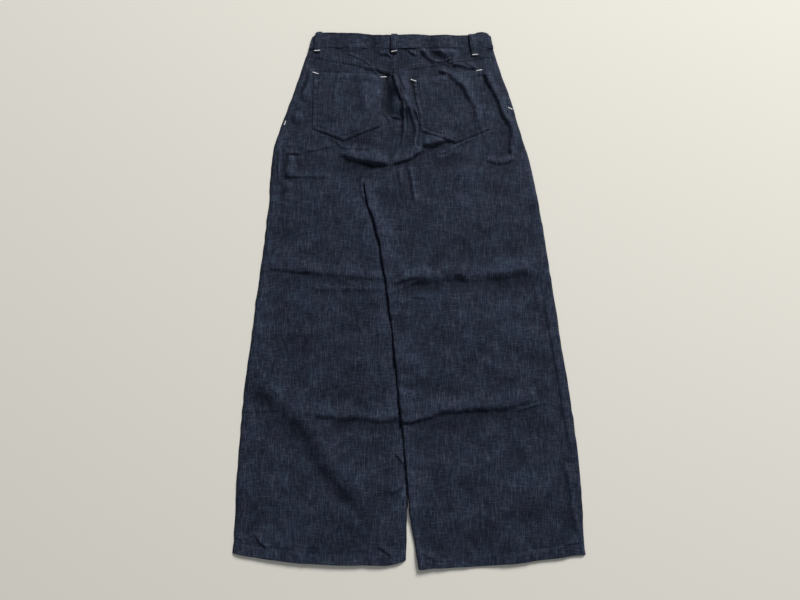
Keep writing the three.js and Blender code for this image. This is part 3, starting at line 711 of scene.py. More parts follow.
def band_edge(x: Array) -> Array:
    """The waistband's upper edge."""
    return curve_through([p.x for p in BAND], [p.top for p in BAND], x)


HALVES = (
    Half(Side.LEFT, roll=0.5, roll_span=26.0, inseam_radius=12.0, side_reach=12.0),
    Half(Side.RIGHT, roll=5.6, roll_span=44.0, inseam_radius=3.2, side_reach=5.0),
)


# Meshes


def new_piece(name: str, points: Array, faces: Array, material: Material) -> Object:
    """Makes a smooth-shaded mesh object that rides on the one body.

    Args:
        name: the piece's name.
        points: an array of points in millimetres.
        faces: an array of point numbers, four or three a row.
        material: its finish.

    Returns:
        The object.
    """
    mesh = bpy.data.meshes.new(name)
    points = np.asarray(points, float).reshape(-1, 3) * MM
    faces = np.asarray(faces, int)
    mesh.vertices.add(len(points))
    mesh.vertices.foreach_set("co", points.ravel())
    mesh.loops.add(faces.size)
    mesh.loops.foreach_set("vertex_index", faces.ravel())
    mesh.polygons.add(len(faces))
    mesh.polygons.foreach_set("loop_start", np.arange(len(faces)) * faces.shape[1])
    mesh.polygons.foreach_set("use_smooth", np.ones(len(faces), bool))
    mesh.update(calc_edges=True)
    mesh.validate()
    mesh.materials.append(material)
    piece = bpy.data.objects.new(name, mesh)
    bpy.context.scene.collection.objects.link(piece)
    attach(piece, "root")
    LOG.info("%s: %d points, %d faces", name, len(points), len(faces))
    return piece


def triangles(a: Array, b: Array, c: Array) -> Array:
    """Triangles from three arrays of point numbers."""
    return np.stack([a.ravel(), b.ravel(), c.ravel()], axis=1)


def grid_faces(index: Array) -> Array:
    """Two triangles for every cell of a grid of point numbers."""
    a, b, c, d = index[:-1, :-1], index[:-1, 1:], index[1:, 1:], index[1:, :-1]
    return np.concatenate([triangles(a, b, c), triangles(a, c, d)])


def rim_faces(edge: Array, other: Array, kept: Array) -> Array:
    """Faces between a row of points and a coarser row beside it.

    Args:
        edge: point numbers of the fine row.
        other: point numbers of the coarser row.
        kept: which places of the fine row the coarser one has.

    Returns:
        The triangles.
    """
    faces = []
    for i, (start, end) in enumerate(zip(kept, kept[1:])):
        middle = (start + end + 1) // 2
        faces += [(edge[j], other[i], edge[j + 1]) for j in range(start, middle)]
        faces += [(edge[j], other[i + 1], edge[j + 1]) for j in range(middle, end)]
        faces.append((edge[middle], other[i], other[i + 1]))
    return np.array(faces)


def thinned(count: int, step: int) -> Array:
    """Every so many places out of a count, with the last one."""
    return np.append(np.arange(0, count - 1, step), count - 1)


def shell(name: str, outer: Array, under: Array, material: Material, step: int = 2) -> Object:
    """A sheet of cloth as one closed shell, whose hidden inner face has a coarser grid.

    Args:
        name: the piece's name.
        outer: the outer face's grid of points.
        under: the inner face's grid of points, as fine as the outer one.
        material: its finish.
        step: how many cells of the outer grid go to one of the inner grid.

    Returns:
        The object.
    """
    rows, columns = outer.shape[:2]
    kept_rows, kept_columns = thinned(rows, step), thinned(columns, step)
    across = outer[rows // 2, -1] - outer[rows // 2, 0]
    down = outer[-1, columns // 2] - outer[0, columns // 2]
    up = outer[rows // 2, columns // 2] - under[rows // 2, columns // 2]
    coarse = under[np.ix_(kept_rows, kept_columns)]
    points = np.concatenate([outer.reshape(-1, 3), coarse.reshape(-1, 3)])
    top = np.arange(rows * columns).reshape(rows, columns)
    low = np.arange(coarse[..., 0].size).reshape(coarse.shape[:2]) + top.size
    faces = np.concatenate(
        [
            grid_faces(top),
            grid_faces(low)[:, ::-1],
            rim_faces(top[0], low[0], kept_columns),
            rim_faces(top[-1], low[-1], kept_columns)[:, ::-1],
            rim_faces(top[:, 0], low[:, 0], kept_rows)[:, ::-1],
            rim_faces(top[:, -1], low[:, -1], kept_rows),
        ]
    )
    outward = float(np.dot(np.cross(across, down), up)) > 0
    piece = new_piece(name, points, faces if outward else faces[:, ::-1], material)
    # The outer face's depth below its surroundings goes on its points, for the painted shade in hollows and
    # painted light on crests of the denim's colour
    depth = piece.data.attributes.new("painted_shading", "FLOAT", "POINT")
    depth.data.foreach_set("value", np.concatenate([hollows(outer[..., 2]).ravel(), np.zeros(low.size)]))
    return piece


def declare_laid(
    node: str,
) -> None:
    """Hides a solid, in whose place a piece is built as a laid sheet of cloth.

    Args:
        node: the solid's node.
    """
    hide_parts(node)


def normals_of(points: Array) -> Array:
    """Unit normals of a grid of points that faces up."""
    normal = np.cross(np.gradient(points, axis=1), np.gradient(points, axis=0))
    normal *= np.sign(normal[..., 2:])
    return normal / np.linalg.norm(normal, axis=-1, keepdims=True)


def lowest_near(values: Array) -> Array:
    """The lowest value of each place of a grid and of those round it."""
    padded = np.pad(values, 1, mode="edge")
    rows, columns = values.shape
    return np.min([padded[i : i + rows, j : j + columns] for i in range(3) for j in range(3)], axis=0)


def mean_near(values: Array, reach: int, axis: int) -> Array:
    """The mean of each place of a grid and of those up to reach away along one axis."""
    ends = [(0, 0), (0, 0)]
    ends[axis] = (reach + 1, reach)
    total = np.cumsum(np.pad(values, ends, mode="edge"), axis=axis)
    count = values.shape[axis]
    window = 2 * reach + 1
    upper = np.take(total, np.arange(window, window + count), axis=axis)
    return (upper - np.take(total, np.arange(count), axis=axis)) / window


def hollows(height: Array) -> Array:
    """How far each place of a grid of heights lies below those round it: the depth that sets the painted
    shade in hollows and the painted light on crests.
    """
    level = height
    for _ in range(3):
        for axis in (0, 1):
            level = mean_near(level, min(8, height.shape[axis] // 4), axis)
    return np.clip(level - height, -1.0, 3.0)


# Finishes


def linear(hex_colour: str) -> tuple[float, float, float, float]:
    """Turns an sRGB hex colour into the linear values that a shader takes."""
    channels = [int(hex_colour[i : i + 2], 16) / 255 for i in (1, 3, 5)]
    values = [c / 12.92 if c <= 0.04045 else ((c + 0.055) / 1.055) ** 2.4 for c in channels]
    return (*values, 1.0)


def add_node(
    tree: NodeTree, kind: str, settings: dict | None = None, links: dict | None = None
) -> Node:
    """Adds a node with its settings and links.

    Args:
        tree: the material's node tree.
        kind: the node's type.
        settings: values by the name of an input or of a property, or by an input's number.
        links: source sockets by the name or number of an input.

    Returns:
        The node.
    """
    node = tree.nodes.new(kind)
    for key, value in (settings or {}).items():
        if isinstance(key, int) or key in node.inputs:
            node.inputs[key].default_value = value
        else:
            setattr(node, key, value)
    for key, source in (links or {}).items():
        tree.links.new(source, node.inputs[key])
    return node


def new_material(name: str) -> tuple[Material, NodeTree]:
    """An empty node material, with its tree."""
    material = bpy.data.materials.new(name)
    material.use_nodes = True
    material.node_tree.nodes.clear()
    return material, material.node_tree


def add_speckle(tree: NodeTree, lump_mm: float, detail: float) -> NodeSocket:
    """Adds noise with lumps of about the given size in the object's own space."""
    place = add_node(tree, "ShaderNodeTexCoord").outputs["Object"]
    settings = {"Scale": 1 / (lump_mm * MM), "Detail": detail}
    return add_node(tree, "ShaderNodeTexNoise", settings, {"Vector": place}).outputs["Fac"]


def add_mix(tree: NodeTree, first: str, second: str, factor: NodeSocket) -> NodeSocket:
    """Adds a mix of two plain colours."""
    settings = {"data_type": "RGBA", 6: linear(first), 7: linear(second)}
    return add_node(tree, "ShaderNodeMix", settings, {0: factor}).outputs[2]


def add_surface(tree: NodeTree, settings: dict, links: dict | None = None) -> None:
    """Adds the principled shader, with its settings and links, and the material's output."""
    shader = add_node(tree, "ShaderNodeBsdfPrincipled", settings, links)
    add_node(tree, "ShaderNodeOutputMaterial", links={"Surface": shader.outputs["BSDF"]})


@dataclass(frozen=True)
class SlubDenim:
    """Light indigo denim woven from uneven, slubby yarn and left unwashed.

    The slubs of warp and weft cross, which gives the eye a fine hatching of lighter streaks, and the raw dye
    leaves the cloth nearly black-blue with a faint dusty sheen. Shade is painted into the colour in hollows,
    and light on crests.
    """

    name: str = "raw_slub_denim"
    deep: str = "#0f121b"
    body: str = "#1d202e"
    slub: str = "#40434f"
    slub_green: str = "#394551"
    # Painted shade: how far the colour darkens in the deepest hollows; painted light: how far it brightens on
    # crests
    painted_shade_in_hollows: float = 0.22
    on_crests: float = 1.28
    thread_pitch_mm: float = 0.9  # really 0.45, drawn twice as coarse so that it can show
    slub_width_mm: float = 1.3
    warp_slub_mm: float = 17.0
    weft_slub_mm: float = 13.0
    mottle_mm: float = 22.0
    patch_mm: float = 74.0

    def build(self) -> Material:
        """Builds the material."""
        material, tree = new_material(self.name)
        place = add_node(tree, "ShaderNodeTexCoord").outputs["Object"]

        def streaks(size_x: float, size_y: float, detail: float) -> NodeSocket:
            scale = (1 / (size_x * MM), 1 / (size_y * MM), 1 / (12 * MM))
            spread = add_node(tree, "ShaderNodeMapping", {"Scale": scale}, {"Vector": place})
            settings = {"Scale": 1.0, "Detail": detail, "Roughness": 0.6}
            links = {"Vector": spread.outputs["Vector"]}
            return add_node(tree, "ShaderNodeTexNoise", settings, links).outputs["Fac"]

        def ranged(value: NodeSocket, low: float, high: float, top: float, bottom: float = 0.0) -> NodeSocket:
            settings = {"From Min": low, "From Max": high, "To Min": bottom, "To Max": top}
            return add_node(tree, "ShaderNodeMapRange", settings, {"Value": value}).outputs["Result"]

        def combined(operation: str, a: NodeSocket, b: NodeSocket) -> NodeSocket:
            return add_node(tree, "ShaderNodeMath", {"operation": operation}, {0: a, 1: b}).outputs[0]

        warp = streaks(self.slub_width_mm, self.warp_slub_mm, 2.0)
        weft = streaks(self.weft_slub_mm, self.slub_width_mm, 2.0)
        mottle = streaks(self.mottle_mm, self.mottle_mm, 3.0)
        grain = streaks(self.thread_pitch_mm, self.thread_pitch_mm, 1.0)
        depth = combined("ADD", ranged(mottle, 0.3, 0.7, 0.6), ranged(grain, 0.3, 0.7, 0.4))
        ground = add_mix(tree, self.deep, self.body, depth)
        hatch = combined("ADD", ranged(warp, 0.48, 0.78, 0.8), ranged(weft, 0.5, 0.8, 0.65))
        hue = ranged(streaks(self.mottle_mm, self.mottle_mm * 1.3, 1.0), 0.35, 0.65, 1.0)
        slub = add_mix(tree, self.slub, self.slub_green, hue)
        weave = {0: hatch, 6: ground, 7: slub}
        woven = add_node(tree, "ShaderNodeMix", {"data_type": "RGBA"}, weave).outputs[2]
        # Painted shading: the colour darkens in hollows and brightens on crests, by the depth stored on the
        # cloth's points
        painted_shading = add_node(tree, "ShaderNodeAttribute", {"attribute_name": "painted_shading"}).outputs["Fac"]
        painted_crease_shading = ranged(painted_shading, -1.0, 3.0, self.painted_shade_in_hollows, self.on_crests)
        patches = ranged(streaks(self.patch_mm, self.patch_mm * 0.8, 2.0), 0.3, 0.7, 1.2, 0.8)
        shaded = {0: woven, "Scale": combined("MULTIPLY", painted_crease_shading, patches)}
        colour = add_node(tree, "ShaderNodeVectorMath", {"operation": "SCALE"}, shaded).outputs["Vector"]
        relief = combined("ADD", combined("ADD", warp, weft), grain)
        rough = {"Strength": 0.35, "Distance": 0.35 * MM}
        bump = add_node(tree, "ShaderNodeBump", rough, {"Height": relief})
        add_surface(
            tree,
            {
                "Roughness": 0.82,
                "IOR": 1.53,
                "Specular IOR Level": 0.2,
                "Specular Tint": linear("#a9b8dc"),
                "Sheen Weight": 0.06,
                "Sheen Roughness": 0.45,
                "Sheen Tint": linear("#8796bd"),
            },
            {"Base Color": colour, "Normal": bump.outputs["Normal"]},
        )
        return material


@dataclass(frozen=True)
class CottonThread:
    """Twisted cotton sewing thread: matt, with faint painted light and shade along its twist."""

    name: str
    colour: str
    shade: str
    twist_mm: float = 0.8

    def build(self) -> Material:
        """Builds the material."""
        material, tree = new_material(self.name)
        twist = add_speckle(tree, self.twist_mm, 1.0)
        # Painted light and shade along the twist, mixed from the shade and the thread's colour
        colour = add_mix(tree, self.shade, self.colour, twist)
        bump = add_node(tree, "ShaderNodeBump", {"Strength": 0.3, "Distance": 0.1 * MM}, {"Height": twist})
        add_surface(
            tree,
            {"Roughness": 0.75, "IOR": 1.53, "Specular IOR Level": 0.3, "Sheen Weight": 0.1},
            {"Base Color": colour, "Normal": bump.outputs["Normal"]},
        )
        return material


@dataclass(frozen=True)
class AntiqueBrass:
    """Stamped brass, blotched with a dark oxide."""

    name: str = "antique_brass"
    bright: str = "#a08a5c"
    oxide: str = "#4a4030"
    blotch_mm: float = 3.0

    def build(self) -> Material:
        """Builds the material."""
        material, tree = new_material(self.name)
        colour = add_mix(tree, self.oxide, self.bright, add_speckle(tree, self.blotch_mm, 4.0))
        add_surface(tree, {"Metallic": 1.0, "Roughness": 0.42}, {"Base Color": colour})
        return material


@dataclass(frozen=True)
class PaleFloor:
    """Smooth pale mineral floor, matt and even."""

    name: str = "pale_floor"
    colour: str = "#d9d5ca"

    def build(self) -> Material:
        """Builds the material."""
        material, tree = new_material(self.name)
        add_surface(tree, {"Base Color": linear(self.colour), "Roughness": 0.9})
        return material


@dataclass(frozen=True)
class Finishes:
    """The finishes of the jeans, built once."""

    denim: Material
    thread: Material
    bartack: Material
    brass: Material

    @classmethod
    def make(cls) -> "Finishes":
        """Builds every finish."""
        return cls(
            denim=SlubDenim().build(),
            thread=CottonThread("navy_thread", "#1f2431", "#10131a").build(),
            bartack=CottonThread("white_thread", "#f2f1ec", "#c9c9c6").build(),
            brass=AntiqueBrass().build(),
        )


# Upper layer: leg panels and yokes


@dataclass(frozen=True)
class UpperRows:
    """Rows of points over one half of the upper layer, turned down at its edges."""

    half: Half
    columns: int = 150
    edge_angles: tuple[float, ...] = (0, 12, 25, 38, 51, 64, 77, 90)

    def meet(self, edge: HeightOf, row_at: HeightOf, inset: Array) -> Array:
        """Where the rows meet an edge, one place a row."""
        x = row_at(np.zeros((1, 1))) * 0 + edge(np.zeros(1))
        for _ in range(5):
            x = edge(row_at(x)) + inset
        return x

    def grid(self, row_at: HeightOf, thickness: Array) -> tuple[Array, Array]:
        """The outer face's and the inner face's points.

        Args:
            row_at: every row's height at its own places, for an array with a row each.
            thickness: the cloth's thickness in each row.

        Returns:
            Two grids of points.
        """
        half = self.half
        side_x = self.meet(half.edge, row_at, 0.0)
        inner_x = self.meet(half.inner, row_at, half.sign * SEAM_GAP / 2)
        inner_y = row_at(inner_x)
        inner_x = inner_x + half.tuck(inner_y)
        turn = np.radians(self.edge_angles)[None]
        start = side_x - half.sign * half.side_reach * (1 - np.cos(turn))
        end = inner_x + half.sign * half.inseam_radius * (1 - np.cos(turn[:, ::-1]))
        middle = mix(start[:, -1:], end[:, :1], np.linspace(0, 1, self.columns + 1)[None, 1:-1])
        flat = np.zeros_like(middle)
        x = np.concatenate([start, middle, end], axis=1)
        y = row_at(x)
        angle = np.concatenate([start * 0 + turn, flat + np.pi / 2, end * 0 + turn[:, ::-1]], axis=1)
        outward = np.concatenate([start * 0 + half.sign, flat, end * 0 - half.sign], axis=1)
        parted = 1 - smooth(CREVICE_TOP - 16, CREVICE_TOP, inner_y)
        turned = np.concatenate([start * 0 + 1, flat, end * 0 + parted], axis=1)
        level = 1 - turned * (1 - np.sin(angle))
        z = half.top(x, y)
        normal = normals_of(np.stack([x, y, z], axis=-1)) * level[..., None]
        normal[..., 0] += outward * turned * np.cos(angle)
        normal /= np.linalg.norm(normal, axis=-1, keepdims=True)
        outer = np.stack([x, y, z * level], axis=-1)
        under = outer - normal * WALL
        outer = outer + normal * ((thickness - WALL) * level)[..., None]
        under[..., 2] = np.maximum(np.where(level < 1, under[..., 2], lowest_near(under[..., 2])), 0.0)
        return outer, under


def pinch_ends(outer: Array, under: Array, depths: Sequence[tuple[int, float]]) -> None:
    """Thins the rows at a cut or folded edge, so that the edge is round.

    Args:
        outer: the outer grid, changed in place.
        under: the inner grid, changed in place.
        depths: row numbers, each with its distance from the edge in millimetres.
    """
    for row, distance in depths:
        keep = float(edge_round(np.array(distance), 1.0))
        middle = (outer[row] + under[row]) / 2
        outer[row] = middle + (outer[row] - middle) * keep
        under[row] = middle + (under[row] - middle) * keep


@dataclass(frozen=True)
class BackPanel:
    """The back of one leg with its turned hem, from the yoke's seam to the bottom edge."""

    half: Half
    close_step: float = 1.8
    open_step: float = 2.5
    close_from: float = 190.0
    flat_size: tuple[float, float] = (420, 1060)

    def heights(self) -> Array:
        """Heights of the rows, close together over the seat and at both ends, in one column."""
        heights = [YOKE_CENTRE, YOKE_CENTRE - 0.3, YOKE_CENTRE - 0.8]
        while heights[-1] > HEM + HEM_DEPTH + self.open_step:
            step = self.close_step if heights[-1] > self.close_from else self.open_step
            heights.append(heights[-1] - step)
        ends = (HEM_DEPTH + 1.2, HEM_DEPTH + 0.3, HEM_DEPTH - 0.6, 19, 16, 13, 10, 7, 4, 2, 0.9, 0.4, 0.1, 0)
        return np.array(heights + [HEM + end for end in ends])[:, None]

    def build(self, finishes: Finishes) -> None:
        """Builds the panel."""
        y = self.heights()
        hem = HEM_EXTRA * (1 - smooth(HEM + HEM_DEPTH - 0.8, HEM + HEM_DEPTH + 0.8, y))
        outer, under = UpperRows(self.half).grid(lambda x: self.half.back_row(y, x), WALL + hem)
        pinch_ends(outer, under, [(0, 0.0), (1, 0.3), (-4, 0.9), (-3, 0.4), (-2, 0.1), (-1, 0.0)])
        word = self.half.side.word
        piece = shell(f"back_panel_{word}", outer, under, finishes.denim)
        declare_laid(f"back_{word}")


@dataclass(frozen=True)
class Yoke:
    """The shaped piece between the waistband and one leg panel, lapped over the panel."""

    half: Half
    rows: int = 24
    flat_size: tuple[float, float] = (215, 60)

    def build(self, finishes: Finishes) -> None:
        """Builds the yoke."""
        middle = np.linspace(0.05, 0.95, self.rows)
        parts = np.concatenate([[0, 0.006, 0.02], middle, [0.98, 0.994, 1]])[:, None]
        outer, under = UpperRows(self.half).grid(lambda x: self.half.yoke_row(parts, x), WALL + 0 * parts)
        x, y = outer[..., 0], outer[..., 1]
        from_seam = y - self.half.yoke_seam(x)
        lap = LAP_HEIGHT * (1 - smooth(LAP_WIDTH - 1, LAP_WIDTH + 1, from_seam))
        for row in SEAM_ROWS:
            lap = lap - groove(from_seam - row, 0.4)
        inside = smooth(0, 6, np.abs(x - self.half.edge(y)))
        outer[..., 2] += lap * inside
        under[..., 2] += inside * (1 - smooth(0.4, 2.4, from_seam))
        pinch_ends(outer, under, [(0, 0.0), (1, 0.3), (-2, 0.3), (-1, 0.0)])
        word = self.half.side.word
        piece = shell(f"back_yoke_{word}", outer, under, finishes.denim)
        declare_laid(f"yoke_{word}")


# Lower layer: fronts and pocket facings, flat on the floor


MOUTH_TOP_INSET = 72.0
MOUTH_BOTTOM = {Side.LEFT: 336.0, Side.RIGHT: 350.0}


@dataclass(frozen=True)
class LowerLayer:
    """The flat front of one half: the leg panel, and the facing that fills its pocket's mouth."""

    half: Half
    step: float = 6.5
    columns: int = 44
    facing_columns: int = 10
    flat_size: tuple[float, float] = (400, 1060)
    facing_size: tuple[float, float] = (75, 170)

    def mouth(self, y: Array) -> Array:
        """The pocket mouth's slanted line."""
        bottom = MOUTH_BOTTOM[self.half.side]
        foot = self.half.edge(bottom) - self.half.sign * EDGE_INSET
        head = self.half.edge(BAND_SEAM) - self.half.sign * MOUTH_TOP_INSET
        return mix(foot, head, np.clip((y - bottom) / (BAND_SEAM - bottom), 0.0, 1.0))

    def edges(self, row_at: HeightOf) -> tuple[Array, Array]:
        """Where the rows meet the side and the inner edge, inside the upper layer's turned edges."""
        rows = UpperRows(self.half)
        crotch_y = row_at(np.full((1, 1), float(self.half.inner(np.array(CROTCH)))))
        parted = 1 - smooth(CROTCH + 4, CROTCH + 14, crotch_y)
        inset = mix(SEAM_GAP / 2, EDGE_INSET, parted)
        side = rows.meet(self.half.edge, row_at, -self.half.sign * EDGE_INSET)
        inner = rows.meet(self.half.inner, row_at, self.half.sign * inset)
        return side, inner

    def sheet(self, start: Array, end: Array, row_at: HeightOf, columns: int) -> tuple[Array, Array]:
        """Top and floor faces of a flat sheet whose rows run between given ends.

        Args:
            start: where each row starts.
            end: where each row ends.
            row_at: every row's height at its own places.
            columns: points in a row.

        Returns:
            Two grids of points.
        """
        t = np.concatenate([[0, 0.002, 0.006], np.linspace(0.02, 0.98, columns), [0.994, 0.998, 1]])
        x = mix(start, end, t[None])
        y = row_at(x)
        wave = 0.5 + 0.5 * lattice_noise(x, y, 34, 26, 31)
        from_end = np.minimum(np.abs(x - x[:, :1]), np.abs(x - x[:, -1:]))
        round_off = edge_round(from_end, 0.6)
        middle = WALL / 2 + 0.0 * x
        floor = middle - (WALL / 2) * round_off + 0.25 * wave * smooth(3, 12, from_end)
        top = middle + (WALL / 2) * round_off
        return np.stack([x, y, top], axis=-1), np.stack([x, y, floor], axis=-1)

    def build(self, finishes: Finishes) -> None:
        """Builds the front and the facing."""
        half = self.half
        word = half.side.word
        bottom = MOUTH_BOTTOM[half.side]
        heights = np.concatenate([np.arange(BAND_SEAM, HEM, -self.step), [HEM + 0.6, HEM]])[:, None]
        upper_heights = np.concatenate([np.arange(BAND_SEAM, bottom + 9, -self.step), [bottom + 8]])[:, None]

        def panel_row(x: Array) -> Array:
            return half.front_row(heights, x)

        def facing_row(x: Array) -> Array:
            return half.front_row(upper_heights, x)

        side, inner = self.edges(panel_row)
        side_y = panel_row(side)
        start = np.where(side_y > bottom, self.mouth(side_y), side)
        hip, _ = self.edges(facing_row)
        mouth = self.mouth(facing_row(hip)) + half.sign * 2 * SEAM_GAP
        panel = self.sheet(start, inner, panel_row, self.columns)
        facing = self.sheet(hip, mouth, facing_row, self.facing_columns)
        for name, node, (top, floor), size in (
            ("front_panel", "front", panel, self.flat_size),
            ("hip_facing", "pocket_facing", facing, self.facing_size),
        ):
            piece = shell(f"{name}_{word}", floor, top, finishes.denim)
            declare_laid(f"{node}_{word}")


# Patch pockets


@dataclass(frozen=True)
class PatchPocket:
    """A back pocket sewn on the leg panel, with a turned upper edge and a pointed bottom."""

    half: Half
    step: float = 1.9
    deepest: float = -0.9
    flat_size: tuple[float, float] = (150, 162)

    def outline(self) -> Array:
        """Its five corners, from the upper left one round."""
        return np.asarray(POCKETS[self.half.side], float)

    def grid(self) -> tuple[Array, Array]:
        """Places over the pocket, close together beside its edges."""
        top_left, top_right, low_right, point, low_left = self.outline()
        width = float(np.linalg.norm(top_right - top_left))
        length = float(np.linalg.norm(point - (top_left + top_right) / 2))
        u = stations(width, self.step) / width
        v = stations(length, self.step) / length
        split = float((point - low_left)[0] / (low_right - low_left)[0])
        left = np.clip(u / split, 0, 1)[:, None]
        right = np.clip((u - split) / (1 - split), 0, 1)[:, None]
        bottom = np.where(u[:, None] < split, mix(low_left, point, left), mix(point, low_right, right))
        top = mix(top_left, top_right, u[:, None])
        places = top[None] + (bottom - top)[None] * v[:, None, None]
        return places[..., 0], places[..., 1]

    def top(self, x: Array, y: Array) -> Array:
        """Height of the pocket's face, with its turned edges, stitch grooves and puckers."""
        corners = POCKETS[self.half.side]
        from_top = np.abs(nearest_on(corners[:2], x, y).signed)
        sewn = nearest_on((*corners[1:], corners[0]), x, y)
        from_sewn = np.abs(sewn.signed)
        turned = 0.4 * (1 - smooth(8.5, 11.0, from_sewn)) + 0.6 * (1 - smooth(14.5, 17.0, from_top))
        outer_row, inner_row = POCKET_ROWS
        upper_row, lower_row = POCKET_TOP_ROWS
        lines = groove(from_sewn - outer_row, depth=0.6, width=1.1)
        lines = lines + groove(from_sewn - inner_row, depth=1.3, width=1.4)
        lines = lines + groove(from_top - lower_row, depth=0.5, width=1.1)
        lines = lines + groove(from_top - upper_row, depth=0.4)
        sign = self.half.sign
        ripples = pucker(sewn.along, from_sewn - 5, pitch=8.0, depth=0.55, reach=7.0, seed=41 + sign)
        gather = pucker(x, from_top - 8, pitch=11.0, depth=0.5, reach=7.0, seed=45 + sign)
        thick = edge_round(np.minimum(from_top, from_sewn), radius=2.4)
        relief = np.maximum(turned - lines + ripples + gather, self.deepest)
        return self.half.top(x, y) + SEAM_GAP + (WALL + relief) * thick

    def build(self, finishes: Finishes) -> None:
        """Builds the pocket."""
        x, y = self.grid()
        under = np.stack([x, y, self.half.top(x, y) + SEAM_GAP * 0.6], axis=-1)
        outer = np.stack([x, y, self.top(x, y)], axis=-1)
        word = self.half.side.word
        piece = shell(f"patch_pocket_{word}", outer, under, finishes.denim)
        declare_laid(f"back_pocket_{word}")


# Waistband, loops and button


@dataclass(frozen=True)
class WaistButton:
    """The shank button on the hidden front, with a dished face and a rolled rim."""

    x: float = -12.0
    y: float = 510.0
    radius: float = 8.5
    thickness: float = 1.8
    segments: int = 48

    def build(self, finishes: Finishes) -> None:
        """Builds the button."""
        r, t = self.radius, self.thickness
        profile = [
            (0.0, 0.5), (r * 0.45, 0.5), (r * 0.62, 0.32), (r * 0.74, 0.06), (r * 0.84, 0.0),
            (r * 0.95, 0.12), (r, t * 0.45), (r * 0.97, t * 0.8), (r * 0.88, t), (r * 0.4, t), (0.0, t),
        ]
        turn = np.linspace(0, 2 * np.pi, self.segments, endpoint=False)
        rings = [
            np.stack([self.x + pr * np.cos(turn), self.y + pr * np.sin(turn), np.full(len(turn), pz)], axis=1)
            for pr, pz in profile[1:-1]
        ]
        ends = [np.array([[self.x, self.y, pz]]) for _, pz in (profile[0], profile[-1])]
        points = np.concatenate([*rings, *ends])
        count = self.segments
        faces = []
        for ring in range(len(rings) - 1):
            for i in range(count):
                a, b = ring * count + i, ring * count + (i + 1) % count
                faces += [(a, b, b + count), (a, b + count, a + count)]
        first, last = len(points) - 2, len(points) - 1
        base = (len(rings) - 1) * count
        for i in range(count):
            faces += [(first, (i + 1) % count, i), (last, base + i, base + (i + 1) % count)]
        piece = new_piece("shank_button", points, np.array(faces)[:, ::-1], finishes.brass)
        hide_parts("waist_button")


@dataclass(frozen=True)
class FrontLoop:
    """A belt loop on the hidden front, flat on the floor under the band."""

    offset: ClassVar[float] = 88.0
    side: Side
    width: float = 13.0
    length: float = 26.0
    thickness: float = 1.5

    def build(self, finishes: Finishes) -> None:
        """Builds the loop."""
        x = WaistButton().x + self.side.value * self.offset
        across = stations(self.width, step=1.6, radius=0.7)
        along = stations(float(band_edge(x) - band_seam(x)) - 2, step=2.0, radius=0.7)
        grid_x, grid_y = np.meshgrid(x - self.width / 2 + across, float(band_seam(x)) + 1 + along)
        from_edge = np.minimum(across, self.width - across)[None] + 0 * grid_y
        keep = edge_round(from_edge, 0.7)
        middle = self.thickness / 2
        floor = middle - middle * keep + 0.2 * groove(from_edge - 2.5, 1.0)
        top = middle + middle * keep
        outer = np.stack([grid_x, grid_y, floor], axis=-1)
        under = np.stack([grid_x, grid_y, top], axis=-1)
        word = self.side.word
        piece = shell(f"front_loop_{word}", outer, under, finishes.denim)
        declare_laid(f"belt_loop_front_{word}")


